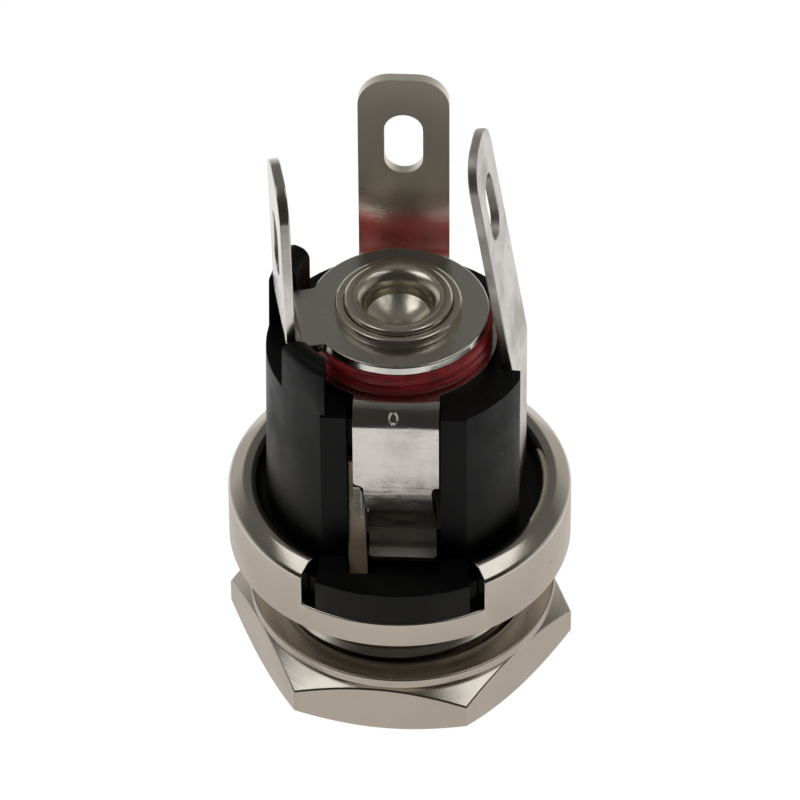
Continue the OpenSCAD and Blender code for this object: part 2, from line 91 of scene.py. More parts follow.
class JackBushingSizes(bpy.types.PropertyGroup):
    thread_d: length("Thread diameter", 11, "Outside diameter of the thread")
    core_d: length("Core diameter", 10.1, "Diameter at the thread's root")
    pitch: length("Pitch", 0.75, "Distance from one thread turn to the next")
    neck_len: length("Neck length", 6.5, "Length from the nose to the flange")
    bore_d: length("Bore", 9.1, "Bore that takes the insulator's sleeve")
    flange_d: length("Flange diameter", span("bushing", 1) / MM, "Outside diameter of the flange")
    flange_edge_r: length("Flange edge radius", 0.14, "Rounding under the flange")
    floor_z: length("Cup floor", 7.85, "Height of the cup's floor")
    cup_r: length("Cup radius", 6.9, "Inner radius of the cup under the lip")
    lip_reach: length("Lip reach", 1.35, "How far the rolled lip reaches in from the outside")
    lip_under_z: length("Lip underside", 9.15, "Height of the lip's underside")
    lip_corner_z: length("Lip corner", 9.42, "Height of the lip's outer corner")
    lip_corner_r: length("Lip corner radius", 0.3, "Radius of the lip's outer corner")
    lip_edge_r: length("Lip edge radius", 0.5, "Radius of the lip's inner edge")
    lip_slope: angle("Lip slope", 32, "Slope of the lip's top, which rises inwards")
    notch_half: angle("Notch half angle", 32, "Half angle of the key notch")


class JackNutSizes(bpy.types.PropertyGroup):
    across_flats: length("Across flats", 13.15, "Width across the flats")
    crown_h: length("Crown height", 0.3, "How far the chamfered top stands above the solid's")
    bore_d: length("Bore", 11.1, "Bore of the nut")
    face_d: length("Face diameter", 12.1, "Diameter of the flat face inside the chamfers")
    chamfer: angle("Chamfer angle", 30, "Slope of the corner chamfers")
    turn: angle("Turn", -5, "Turn of the nut about the axis")
    edge_r: length("Edge radius", 0.08, "Rounding of the edges")
    washer_d: length("Washer diameter", 13.4, "Diameter of the plain washer on the nut")
    washer_t: length("Washer thickness", 0.48, "Thickness of the plain washer")
    washer_shift: length("Washer shift", 0.1, "How far the loose washer lies off the axis")


class JackInsulatorSizes(bpy.types.PropertyGroup):
    edge_r: length("Edge radius", 0.13, "Rounding asked for on the moulded edges, which stay sharp")


class JackStackSizes(bpy.types.PropertyGroup):
    washer_wave: length("Washer unevenness", 0.03, "How far the punched edge wanders")
    pin_d: length("Pin diameter", 2.1, "Diameter of the centre pin")
    tail_d: length("Tail diameter", 3.4, "Diameter of the pin's tail")
    bore_d: length("Tail bore", 2.7, "Drilled hole at the bottom of the funnel")
    bore_l: length("Bore length", 0.1, "Straight length of the hole below the funnel")
    drill_slope: angle("Drill slope", 31, "Slope of the hole's conical bottom")
    flare_d: length("Flare diameter", 4.64, "Diameter of the flared end")
    flare_h: length("Flare height", 0.5, "Height of the flared end")
    funnel_d: length("Funnel diameter", 3.9, "Diameter of the funnel at the top")
    funnel_h: length("Funnel depth", 0.95, "Depth of the funnel")
    cup_rim_t: length("Cup rim", 0.35, "Thickness of the cup's rim")
    cup_t: length("Cup floor", 0.15, "Thickness of the cup's floor")
    fit: length("Fit", 0.03, "Clearance round the tail and the flare")
    shoulder_d: length("Shoulder diameter", 4.6, "Diameter of the pin's shoulder")
    shoulder_z: length("Shoulder height", 12.2, "Height of the shoulder's lower face")
    shoulder_t: length("Shoulder thickness", 0.8, "Thickness of the shoulder")


class JackTerminalSizes(bpy.types.PropertyGroup):
    sheet_t: length("Sheet thickness", 0.45, "Thickness of the pin and sleeve terminals")
    shunt_t: length("Shunt thickness", 0.4, "Thickness of the shunt terminal")
    lug_w: length("Lug width", 3.65, "Width of the lugs and arms")
    corner_r: length("Lug corner radius", 1.4, "Radius of the lugs' top corners")
    slot_w: length("Wire slot width", 1.66, "Width of the wire slots")
    slot_l: length("Wire slot length", 3.2, "Length of the wire slots")
    slot_drop: length("Wire slot drop", 3.5, "From the top of a lug to the middle of its slot")
    pin_slot_drop: length("Pin slot drop", 3.9, "From the top of the pin lug to the middle of its slot")
    bend_r: length("Bend radius", 0.725, "Radius of the bends at the sheet's middle")
    edge_r: length("Edge radius", 0.06, "Rounding of the punched edges")
    pin_plate_d: length("Pin plate", 7.7, "Diameter of the pin terminal's plate")
    tail_hole_d: length("Tail hole", 3.46, "Hole in the pin terminal's plate")
    boss_hole_d: length("Boss hole", 4.6, "Hole in the sleeve terminal's plate")
    pin_reach: length("Pin lug reach", 5.08, "From the axis to the pin lug's outer face")
    pin_turn: angle("Pin arm turn", 11.5, "Turn of the pin arm from -X towards the front")
    pin_lean: angle("Pin lug lean", 1.4, "Outward lean of the pin lug")
    sleeve_plate_d: length("Sleeve plate", 8.4, "Diameter of the sleeve terminal's plate")
    sleeve_plate_z: length("Sleeve plate height", 17.4, "Height of the sleeve plate's lower face")
    sleeve_lug_w: length("Sleeve lug width", 3.9, "Width of the sleeve lug")
    sleeve_reach: length("Sleeve lug reach", 5.05, "From the axis to the sleeve lug's front face")
    spring_reach: length("Spring reach", 5, "From the axis to the outer face of the spring's leg")
    spring_shift: length("Spring shift", 0.1, "Offset of the leg towards +X")
    leg_z: length("Leg foot", 13.2, "Height where the leg's straight run ends")
    shoulder_up: length("Shoulder rise", 0.35, "Height of the nose's shoulders above the leg's foot")
    bow_z: length("Bow height", 12.6, "Height where the straight leg would meet the bow")
    nose_r: length("Nose radius", 2.65, "From the axis to the inner face of the spring's nose")
    nose_z: length("Nose height", 10.3, "Height of the spring's nose")
    nose_w: length("Nose width", 2.9, "Width of the spring's nose")
    nose_shift: length("Nose shift", 0.16, "Offset of the nose's root towards +X")
    nose_lean: angle("Nose lean", 2.7, "Sideways lean of the nose")
    tip_z: length("Tip height", 9.25, "Height of the spring's tip at the sheet's middle")
    tip_drop: length("Tip drop", 0.17, "How far the cut end bends down")
    tip_end: length("Tip end", 0.38, "Length of the cut end that bends down")
    tip_reach: length("Tip reach", 4.63, "From the axis to the cut end of the spring's tip")
    tip_run: length("Tip run", 0.88, "Level length of the tip")
    ear_l: length("Ear length", 1.4, "Length of the ear beside the nose")
    blade_reach: length("Blade reach", 5.15, "From the axis to the shunt blade's outer face")
    blade_shift: length("Blade shift", 0.97, "Offset of the blade towards the back")
    blade_turn: angle("Blade turn", 6.3, "Turn of the blade")
    lean_z: length("Lean start", 16.5, "Height where the shunt lug starts to lean in")
    shunt_lean: angle("Shunt lug lean", 8.8, "Inward lean of the shunt lug")
    leaf_foot: length("Leaf foot", 5.2, "From the axis to the leaf's face at the slot's floor")
    leaf_face: length("Leaf face", 4.51, "From the axis to the leaf's face behind the spring")
    leaf_w: length("Leaf width", 0.84, "Width of the leaf at its foot")
    leaf_left: length("Leaf edge", -1.96, "Place of the leaf's outer edge along X")
    leaf_z: length("Leaf start", 8.65, "Height of the slot's floor")
    leaf_top: length("Leaf top", 14.6, "Height of the leaf's top")


class JackFinishes(bpy.types.PropertyGroup):
    nickel: colour("Nickel", (0.58, 0.535, 0.475), "Nickel plate on the turned parts")
    pin: colour("Pin", (0.74, 0.7, 0.6), "Nickel plate on the pin and its cup, a little warmer")
    terminal: colour("Terminal", (0.68, 0.655, 0.61), "Nickel plate on the terminals")
    plastic: colour("Plastic", (0.005, 0.005, 0.005), "Moulded insulator")
    fibre: colour("Fibre", (0.5, 0.026, 0.034), "Vulcanised fibre washers")


class JackStage(bpy.types.PropertyGroup):
    floor_size: length("Floor size", 3000, "Side of the floor")
    floor: colour("Floor", (0.9, 0.9, 0.9), "Colour of the floor")
    # painted shade: the floor darker beside the part, as metal sees it
    near: colour("Near floor", (0.66, 0.62, 0.585), "Floor beside the part, as metal sees it")
    far: colour("Far floor", (0.93, 0.93, 0.93), "Floor away from the part, as metal sees it")
    front: colour("Room in front", (0.04, 0.038, 0.034), "Room in front of the part")
    back: colour("Room behind", (0.15, 0.148, 0.14), "Room behind the part, high up")
    low_back: colour("Backdrop", (0.58, 0.56, 0.53), "Backdrop behind the part, low down")
    overhead: FloatProperty(
        name="Overhead", description="Brightness of the two overhead softboxes", default=1.3, min=0
    )
    lens: FloatProperty(name="Lens", description="Focal length in millimetres", default=314.3)


class JackSettings(bpy.types.PropertyGroup):
    bushing: PointerProperty(type=JackBushingSizes)
    nut: PointerProperty(type=JackNutSizes)
    insulator: PointerProperty(type=JackInsulatorSizes)
    stack: PointerProperty(type=JackStackSizes)
    terminals: PointerProperty(type=JackTerminalSizes)
    finishes: PointerProperty(type=JackFinishes)
    stage: PointerProperty(type=JackStage)
    ring_steps: IntProperty(name="Ring steps", description="Facets round a turned part", default=144, min=24)


def settings():
    return bpy.context.scene.dc_jack


# ---- Lines in a plane ----


def arc(centre, radius, start, end, steps):
    """Points of an arc from angle start to angle end, in degrees."""
    turns = [math.radians(start + (end - start) * i / steps) for i in range(steps + 1)]
    return [(centre[0] + radius * math.cos(t), centre[1] + radius * math.sin(t)) for t in turns]


def rounded(points, radii, closed=False, steps=6):
    """The same line with each corner rounded; radii has one value for each point, 0 for a sharp one."""
    line = []
    count = len(points)
    for i, (point, radius) in enumerate(zip(points, radii)):
        if radius <= 0 or (not closed and i in (0, count - 1)):
            line.append(tuple(point))
            continue
        here = Vector(point)
        before = (Vector(points[i - 1]) - here).normalized()
        after = (Vector(points[(i + 1) % count]) - here).normalized()
        half = before.angle(after) / 2
        centre = here + (before + after).normalized() * radius / math.sin(half)
        first = here + before * radius / math.tan(half) - centre
        last = here + after * radius / math.tan(half) - centre
        start = math.atan2(first.y, first.x)
        sweep = math.atan2(last.y, last.x) - start
        sweep = (sweep + math.pi) % (2 * math.pi) - math.pi
        for k in range(steps + 1):
            turn = start + sweep * k / steps
            line.append((centre.x + radius * math.cos(turn), centre.y + radius * math.sin(turn)))
    return line


def inside(point, loop):
    """True if the point is inside the closed line."""
    x, y = point
    found = False
    for (x1, y1), (x2, y2) in zip(loop, loop[1:] + loop[:1]):
        if (y1 > y) != (y2 > y) and x < (x2 - x1) * (y - y1) / (y2 - y1) + x1:
            found = not found
    return found


class Fold:
    """The middle line of a bent sheet, read by the distance along it."""

    def __init__(self, points, radii, steps=8):
        self.line = [Vector(p) for p in rounded(points, radii, steps=steps)]
        self.along = [0.0]
        for a, b in zip(self.line, self.line[1:]):
            self.along.append(self.along[-1] + (b - a).length)
        self.sides = []
        for i in range(len(self.line)):
            ahead = self.line[min(i + 1, len(self.line) - 1)] - self.line[i]
            behind = self.line[i] - self.line[max(i - 1, 0)]
            run = (ahead.normalized() + behind.normalized()).normalized()
            self.sides.append(Vector((-run.y, run.x)))

    @property
    def length(self):
        return self.along[-1]

    def nearest(self, x, y):
        """Distance along the line to the corner of it nearest to a point."""
        return min(zip(self.line, self.along), key=lambda pair: (pair[0] - Vector((x, y))).length)[1]

    def at(self, s):
        """Point and sideways direction at distance s."""
        s = min(max(s, 0.0), self.length)
        i = max(k for k, along in enumerate(self.along[:-1]) if along <= s + 1e-12)
        part = (s - self.along[i]) / (self.along[i + 1] - self.along[i])
        side = self.sides[i].lerp(self.sides[i + 1], part).normalized()
        return self.line[i].lerp(self.line[i + 1], part), side


# ---- Meshes ----


def ring(bm, profile, turn):
    """Places a line of (radius, height) points at an angle round the axis."""
    c, s = math.cos(turn), math.sin(turn)
    return [bm.verts.new((r * c, r * s, z)) for r, z in profile]


def join_rings(bm, rings, wrap=True, closed=False):
    """Faces between rings; wrap joins the last ring to the first, closed the last point to the first."""
    pairs = list(zip(rings, rings[1:]))
    if wrap:
        pairs.append((rings[-1], rings[0]))
    count = len(rings[0])
    for left, right in pairs:
        for i in range(count if closed else count - 1):
            k = (i + 1) % count
            bm.faces.new((left[i], right[i], right[k], left[k]))


def revolve(bm, profile, turns, wrap=True):
    """Turns a line of (radius, height) points through the given angles; returns the rings."""
    rings = [ring(bm, profile, t) for t in turns]
    join_rings(bm, rings, wrap)
    return rings


def full_turn(steps):
    return [2 * math.pi * i / steps for i in range(steps)]


def flat_fill(loops, crossings):
    """Triangles that fill the loops, with an edge along each crossing line."""
    points, edges = [], []
    for loop in loops:
        start = len(points)
        points += loop
        edges += [(start + i, start + (i + 1) % len(loop)) for i in range(len(loop))]
    for a, b in crossings:
        edges.append((len(points), len(points) + 1))
        points += [a, b]
    found = delaunay_2d_cdt([Vector(p) for p in points], edges, [], 0, 1e-8)
    corners, faces = found[0], found[2]
    kept = []
    for face in faces:
        middle = sum((corners[i] for i in face), Vector((0, 0))) / len(face)
        if sum(inside(middle, loop) for loop in loops) % 2:
            kept.append(face)
    return corners, kept


def sheet(bm, loops, fold, thickness, place, reach):
    """Folds a flat pattern, given as loops of (distance along the fold, offset across), into a bent sheet."""
    crossings = [((s, -reach), (s, reach)) for s in fold.along[1:-1]]
    corners, faces = flat_fill(loops, crossings)
    used = sorted({i for face in faces for i in face})
    sides = {}
    for way in (1, -1):
        for i in used:
            s, w = corners[i]
            middle, side = fold.at(s)
            point = middle + side * (way * thickness / 2)
            sides[way, i] = bm.verts.new(place(point.x, w, point.y))
    border = {}
    for face in faces:
        for way in (1, -1):
            corner_ring = [sides[way, i] for i in face]
            bm.faces.new(corner_ring[::way])
        for a, b in zip(face, face[1:] + face[:1]):
            key = (min(a, b), max(a, b))
            border[key] = None if key in border else (a, b)
    for a, b in filter(None, border.values()):
        bm.faces.new((sides[1, b], sides[1, a], sides[-1, a], sides[-1, b]))


def turned_place(turn, shift=0.0):
    """Maps a fold's (outwards, across, up) onto the part, turned about the axis."""
    c, s = math.cos(turn), math.sin(turn)
    return lambda x, w, z: (x * c - (w + shift) * s, x * s + (w + shift) * c, z)


def new_object(name, data):
    obj = bpy.data.objects.new(name, data)
    bpy.context.scene.collection.objects.link(obj)
    return obj


def finish_piece(name, bm, look, slot, nodes, join_flats=True, **dressing):
    """Cleans the mesh and makes it an object of the part."""
    bmesh.ops.remove_doubles(bm, verts=bm.verts, dist=SAME_POINT)
    bmesh.ops.dissolve_degenerate(bm, edges=bm.edges, dist=SAME_POINT)
    if join_flats:
        bmesh.ops.dissolve_limit(bm, angle_limit=math.radians(0.3), verts=bm.verts, edges=bm.edges)
    bmesh.ops.recalc_face_normals(bm, faces=bm.faces)
    mesh = bpy.data.meshes.new(name)
    bm.to_mesh(mesh)
    bm.free()
    dress(new_object(name, mesh), look, slot, nodes, **dressing)


def dress(obj, look, slot, nodes, sharp=35, edge_r=0.0, edge_angle=40):
    """Gives a piece its shading, rounded edges, material and place in the part; angles are in degrees."""
    if not obj.data.polygons:
        raise RuntimeError(f"{obj.name} came out empty")
    obj.data.shade_smooth()
    obj.data.set_sharp_from_angle(angle=math.radians(sharp))
    obj.data.materials.clear()
    obj.data.materials.append(finish(look))
    if edge_r > 0:
        bevel = obj.modifiers.new("Rounded edges", "BEVEL")
        bevel.width = edge_r
        bevel.segments = 3
        bevel.limit_method = "ANGLE"
        bevel.angle_limit = math.radians(edge_angle)
        bevel.use_clamp_overlap = True
        bevel.miter_outer = "MITER_ARC"
        normals = obj.modifiers.new("Flat faces stay flat", "WEIGHTED_NORMAL")
        normals.keep_sharp = True
    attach(obj, "root")
    if nodes:
        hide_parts(*nodes)


# ---- Shader groups ----


def feed(tree, node, inputs):
    """Sets inputs of a node, each to a value or to the socket that feeds it."""
    for key, value in inputs.items():
        if isinstance(value, bpy.types.NodeSocket):
            tree.links.new(value, node.inputs[key])
        else:
            node.inputs[key].default_value = value


def add(tree, kind, inputs=None, **options):
    """Adds a node with its options and inputs."""
    node = tree.nodes.new(kind)
    for key, value in options.items():
        setattr(node, key, value)
    feed(tree, node, inputs or {})
    return node


def maths(tree, operation, a, b=0.0, clamp=False):
    return add(tree, "ShaderNodeMath", {0: a, 1: b}, operation=operation, use_clamp=clamp).outputs[0]


def vector_maths(tree, operation, a, b):
    return add(tree, "ShaderNodeVectorMath", {0: a, 1: b}, operation=operation).outputs[0]


def distance(tree, vector):
    """Length of a vector."""
    return add(tree, "ShaderNodeVectorMath", {0: vector}, operation="LENGTH").outputs["Value"]


def split(tree, vector):
    """The X, Y and Z of a vector, by name."""
    return add(tree, "ShaderNodeSeparateXYZ", {0: vector}).outputs


def remap(tree, value, low, high, to_low=0.0, to_high=1.0):
    limits = {"From Min": low, "From Max": high, "To Min": to_low, "To Max": to_high}
    return add(tree, "ShaderNodeMapRange", {"Value": value, **limits}).outputs["Result"]


def mix_colour(tree, factor, a, b):
    return add(tree, "ShaderNodeMix", {0: factor, 6: a, 7: b}, data_type="RGBA").outputs[2]


def noise(tree, vector, scale, detail, rough=0.5):
    inputs = {"Vector": vector, "Scale": scale, "Detail": detail, "Roughness": rough}
    return add(tree, "ShaderNodeTexNoise", inputs).outputs["Fac"]


def shader_group(name, outputs, **inputs):
    """An empty group that takes a Vector and the named inputs, given with their defaults."""
    tree = bpy.data.node_groups.new(name, "ShaderNodeTree")
    tree.interface.new_socket(name="Vector", in_out="INPUT", socket_type="NodeSocketVector")
    for key, default in inputs.items():
        kind = "NodeSocketFloat" if isinstance(default, float) else "NodeSocketVector"
        tree.interface.new_socket(name=key, in_out="INPUT", socket_type=kind).default_value = default
    for key in outputs:
        tree.interface.new_socket(name=key, in_out="OUTPUT", socket_type="NodeSocketFloat")
    return tree, tree.nodes.new("NodeGroupInput").outputs, tree.nodes.new("NodeGroupOutput")


def build_fine_marks(name):
    """Long fine scratches across one direction, for rolled and handled metal."""
    tree, given, out = shader_group(name, ["Height", "Mask"], Stretch=(1.0, 1.0, 1.0), Scale=1000.0)
    mapped = vector_maths(tree, "MULTIPLY", given["Vector"], given["Stretch"])
    lines = noise(tree, mapped, given["Scale"], 5.0, 0.65)
    strength = remap(tree, noise(tree, given["Vector"], 600.0, 2.0), 0.4, 0.65)
    centred = maths(tree, "SUBTRACT", lines, 0.5)
    height = maths(tree, "MULTIPLY", centred, maths(tree, "ADD", strength, 0.25))
    feed(tree, out, {"Height": height, "Mask": remap(tree, lines, 0.55, 0.8)})
    return tree


def build_turning_marks(name):
    """Rings left by a lathe tool round the part's axis."""
    tree, given, out = shader_group(name, ["Height"], Spacing=0.1 * MM)
    at = split(tree, given["Vector"])
    radius = distance(tree, add(tree, "ShaderNodeCombineXYZ", {"X": at["X"], "Y": at["Y"]}).outputs[0])
    rings = {
        "X": maths(tree, "DIVIDE", radius, given["Spacing"]),
        "Y": maths(tree, "DIVIDE", at["Z"], given["Spacing"]),
        "Z": maths(tree, "MULTIPLY", maths(tree, "ARCTAN2", at["Y"], at["X"]), 0.6),
    }
    lines = noise(tree, add(tree, "ShaderNodeCombineXYZ", rings).outputs[0], 1.0, 2.0)
    feed(tree, out, {"Height": maths(tree, "SUBTRACT", lines, 0.5)})
    return tree


def build_specks(name):
    """Scattered small round specks or pits."""
    tree, given, out = shader_group(name, ["Mask"], Spacing=1.0 * MM, Size=0.1, Amount=0.3)
    scale = maths(tree, "DIVIDE", 1.0, given["Spacing"])
    cells = add(tree, "ShaderNodeTexVoronoi", {"Vector": given["Vector"], "Scale": scale}).outputs
    pick = split(tree, cells["Color"])
    chosen = maths(tree, "LESS_THAN", pick["X"], given["Amount"])
    reach = maths(tree, "MULTIPLY", given["Size"], maths(tree, "ADD", pick["Y"], 0.3))
    near = maths(tree, "SUBTRACT", 1.0, maths(tree, "DIVIDE", cells["Distance"], reach), clamp=True)
    feed(tree, out, {"Mask": maths(tree, "MULTIPLY", remap(tree, near, 0.0, 0.5), chosen)})
    return tree


def build_patches(name):
    """Soft uneven patches, such as a thin stain or a change of sheen."""
    tree, given, out = shader_group(name, ["Mask"], Spacing=3.0 * MM)
    scale = maths(tree, "DIVIDE", 1.0, given["Spacing"])
    feed(tree, out, {"Mask": remap(tree, noise(tree, given["Vector"], scale, 4.0, 0.6), 0.42, 0.68)})
    return tree


GROUPS = {
    "Fine marks": build_fine_marks,
    "Turning marks": build_turning_marks,
    "Specks": build_specks,
    "Patches": build_patches,
}


def effect(tree, name, vector, **inputs):
    """Places a shader group, which is built the first time it is asked for; returns its outputs."""
    made = bpy.data.node_groups.get(name) or GROUPS[name](name)
    return add(tree, "ShaderNodeGroup", {"Vector": vector, **inputs}, node_tree=made).outputs


def empty_tree(holder):
    """The node tree of a new material or world, emptied."""
    holder.use_nodes = True
    holder.node_tree.nodes.clear()
    return holder.node_tree


def start_material(name):
    """A material with an empty Principled BSDF; returns it with its tree, shader and object coordinates."""
    material = bpy.data.materials.new(name)
    tree = empty_tree(material)
    shader = tree.nodes.new("ShaderNodeBsdfPrincipled")
    add(tree, "ShaderNodeOutputMaterial", {"Surface": shader.outputs[0]})
    return material, tree, shader, tree.nodes.new("ShaderNodeTexCoord").outputs["Object"]


def bump(tree, height, depth):
    return add(tree, "ShaderNodeBump", {"Height": height, "Distance": depth, "Strength": 1.0}).outputs[0]


def rgba(colour_value, scale=1.0):
    return (*[c * scale for c in colour_value], 1.0)


# ---- Materials ----

LIT_BACK_LUG = (0.95, 0.89, 0.79)  # painted light: a lighter plate colour on the back lug, standing in for the light it reflects
LIT_LEAF = (0.95, 0.82, 0.68)  # painted light: a lighter plate colour on the leaf behind the spring, standing in for the light it reflects
EAR = (0.2, 0.19, 0.16)  # shaded ear beside the spring's nose
DUST = (0.2, 0.19, 0.18)  # specks on the plastic
LIT_PLATE_GAIN = 1.08  # painted light: the pin terminal's plate made lighter than the other terminals
# Where a terminal is made rougher and carries painted light, a lighter colour for reflected light: from and
# to along Y, the roughness added, the painted colour, and the height above which all the roughness counts
DULL_AND_LIT_BACK = (3 * MM, 4.5 * MM, 0.34, LIT_BACK_LUG, 21.6 * MM)
DULL_AND_LIT_LEAF = (-3 * MM, -4 * MM, 0.4, LIT_LEAF, 0.0)
DULL_RISE = 1.6 * MM  # height over which the dullness grows
# The spring: its punched dimple, and the limits of its bow, sheared tip and ear
DIMPLE = (0, -4.85 * MM, 17.42 * MM)
DIMPLE_SCALE = (4700.0, 3100.0, 3100.0)
BOW_Z = (14.6 * MM, 13.4 * MM)
FRONT_Y = (0.0, -2 * MM)
SHEARED_Z = (9.7 * MM, 9.4 * MM)
EAR_Z = (13.6 * MM, 13.45 * MM)
EAR_X = (-1.3 * MM, -1.45 * MM)


def turned_nickel(name, base, rough, ring_spacing, ring_depth):
    """Nickel plate over turned brass: faint rings, small pits and uneven sheen."""
    material, tree, shader, where = start_material(name)
    rings = effect(tree, "Turning marks", where, Spacing=ring_spacing)["Height"]
    pits = effect(tree, "Specks", where, Spacing=1.3 * MM, Size=0.075, Amount=0.35)["Mask"]
    patches = effect(tree, "Patches", where, Spacing=3.2 * MM)["Mask"]
    tint = mix_colour(tree, patches, rgba(base), rgba(base, 0.93))
    height = maths(tree, "SUBTRACT", rings, maths(tree, "MULTIPLY", pits, 2.0))
    feed(tree, shader, {
        "Metallic": 1.0,
        "Base Color": mix_colour(tree, pits, tint, rgba(base, 0.25)),
        "Roughness": remap(tree, patches, 0, 1, rough, rough * 1.6),
        "Normal": bump(tree, height, ring_depth),
    })
    return material


def spring_marks(tree, where, at, tint, sheen, height):
    """The spring's own marks: heavier lines on its bow, a rough tip, a shaded ear and the dimple."""
    front = maths(tree, "MULTIPLY", remap(tree, at["Z"], *BOW_Z), remap(tree, at["Y"], *FRONT_Y))
    height = maths(tree, "MULTIPLY", height, maths(tree, "ADD", maths(tree, "MULTIPLY", front, 4.0), 1.0))
    ear = maths(tree, "MULTIPLY", remap(tree, at["Z"], *EAR_Z), remap(tree, at["X"], *EAR_X))
    sheared = maths(tree, "MULTIPLY", front, remap(tree, at["Z"], *SHEARED_Z))
    wear_and_painted_light = maths(tree, "ADD", maths(tree, "MULTIPLY", front, 0.1), maths(tree, "MULTIPLY", sheared, 0.3))
    oval = vector_maths(tree, "MULTIPLY", vector_maths(tree, "SUBTRACT", where, DIMPLE), DIMPLE_SCALE)
    dimple = maths(tree, "MULTIPLY", remap(tree, distance(tree, oval), 0.6, 1.0), 9.0)
    tint = mix_colour(tree, ear, tint, rgba(EAR))
    return tint, maths(tree, "ADD", sheen, wear_and_painted_light), maths(tree, "ADD", height, dimple)


def rolled_nickel(name, base, rough, stretch, scale, depth, dull_and_lit=None, is_spring=False):
    """Nickel plate on rolled strip: fine lines along the rolling, a few dark nicks, and rougher places with
    painted light.
    """
    material, tree, shader, where = start_material(name)
    marks = effect(tree, "Fine marks", where, Stretch=stretch, Scale=scale)
    nicks = effect(tree, "Specks", where, Spacing=0.9 * MM, Size=0.09, Amount=0.3)["Mask"]
    patches = effect(tree, "Patches", where, Spacing=2.1 * MM)["Mask"]
    tint = mix_colour(tree, patches, rgba(base), rgba(base, 0.86))
    sheen = remap(tree, maths(tree, "ADD", patches, marks["Mask"]), 0, 2, rough, rough * 2.2)
    height = marks["Height"]
    if dull_and_lit:
        start, end, extra, wear_and_painted_light, clean_z = dull_and_lit
        at = split(tree, where)
        place = remap(tree, at["Y"], start, end)
        raised = remap(tree, at["Z"], clean_z, clean_z + DULL_RISE, 0.3, 1.0)
        rubbed = maths(tree, "MULTIPLY", place, raised)
        sheen = maths(tree, "ADD", sheen, maths(tree, "MULTIPLY", rubbed, extra))
        # painted light: the back lug and the leaf take a lighter colour that stands in for the light they
        # reflect
        tint = mix_colour(tree, place, tint, rgba(wear_and_painted_light))
        if is_spring:
            tint, sheen, height = spring_marks(tree, where, at, tint, sheen, height)
    feed(tree, shader, {
        "Metallic": 1.0,
        "Base Color": mix_colour(tree, nicks, tint, rgba(base, 0.4)),
        "Roughness": sheen,
        "Normal": bump(tree, height, depth),
    })
    return material


def black_plastic(name, base):
    """Black moulded plastic with a slight sheen, fine grain and a few pale specks."""
    material, tree, shader, where = start_material(name)
    grain = noise(tree, where, 5200.0, 4.0, 0.6)
    patches = effect(tree, "Patches", where, Spacing=2.6 * MM)["Mask"]
    dust = effect(tree, "Specks", where, Spacing=1.5 * MM, Size=0.045, Amount=0.22)["Mask"]
    tint = mix_colour(tree, patches, rgba(base), rgba(base, 1.9))
    feed(tree, shader, {
        "Base Color": mix_colour(tree, dust, tint, rgba(DUST)),
        "Roughness": remap(tree, patches, 0, 1, 0.36, 0.52),
        "Specular IOR Level": 0.16,
        "Normal": bump(tree, grain, 0.006 * MM),
    })
    return material


def red_fibre(name, base):
    """Red vulcanised fibre: layered, slightly waxy, with uneven patches of tone and roughness."""
    material, tree, shader, where = start_material(name)
    layers = effect(tree, "Fine marks", where, Stretch=(0.25, 0.25, 4.0), Scale=1500.0)
    patches = effect(tree, "Patches", where, Spacing=0.9 * MM)["Mask"]
    tint = mix_colour(tree, patches, rgba(base, 0.75), rgba(base, 1.5))
    feed(tree, shader, {
        "Base Color": mix_colour(tree, layers["Mask"], tint, rgba(base, 2.6)),
        "Roughness": remap(tree, patches, 0, 1, 0.35, 0.6),
        "Normal": bump(tree, layers["Height"], 0.06 * MM),
    })
    return material


def finish(name):
    """A finish of the jack by name, made the first time it is asked for."""
    made = bpy.data.materials.get(name)
    if made:
        return made
    chosen = settings().finishes
    nickel, strip = tuple(chosen.nickel), tuple(chosen.terminal)
    # painted light: a lighter copy of the terminal plate for the pin terminal
    lit_strip = tuple(LIT_PLATE_GAIN * c for c in strip)
    recipes = {
        "Nickel body": (turned_nickel, nickel, 0.13, 0.11 * MM, 0.0016 * MM),
        "Nickel nut": (turned_nickel, nickel, 0.16, 0.16 * MM, 0.006 * MM),
        "Nickel washer": (turned_nickel, nickel, 0.2, 0.3 * MM, 0.004 * MM),
        "Nickel pin": (turned_nickel, tuple(chosen.pin), 0.2, 0.1 * MM, 0.004 * MM),
        "Pin terminal plate": (rolled_nickel, lit_strip, 0.17, (1, 1, 1), 2500.0, 0.009 * MM),
        "Spring plate": (rolled_nickel, strip, 0.16, (0.1, 1, 1), 5000.0, 0.012 * MM, DULL_AND_LIT_BACK, True),
        "Shunt plate": (rolled_nickel, strip, 0.36, (1, 1, 0.6), 3000.0, 0.005 * MM, DULL_AND_LIT_LEAF),
        "Black plastic": (black_plastic, tuple(chosen.plastic)),
        "Red fibre": (red_fibre, tuple(chosen.fibre)),
    }
    make, *values = recipes[name]
    return make(name, *values)


# ---- Pieces ----

# Unevenness of a punched washer's edge: lobes round it, height and share of the phase
WASHER_LOBES = ((5, 1, 1), (11, 0.6, 2), (23, 0.5, 1))
# Bend radii of the spring from its tip up: cut end, tip, nose and bow
SPRING_BENDS = (0.3 * MM, 0.65 * MM, 1.25 * MM, 2.8 * MM)


def turned_piece(name, line, steps, look, slot, nodes):
    """A piece made by turning a line of (radius, height) points about the axis."""
    bm = bmesh.new()
    revolve(bm, line, full_turn(steps))
    finish_piece(name, bm, look, slot, nodes, join_flats=False)


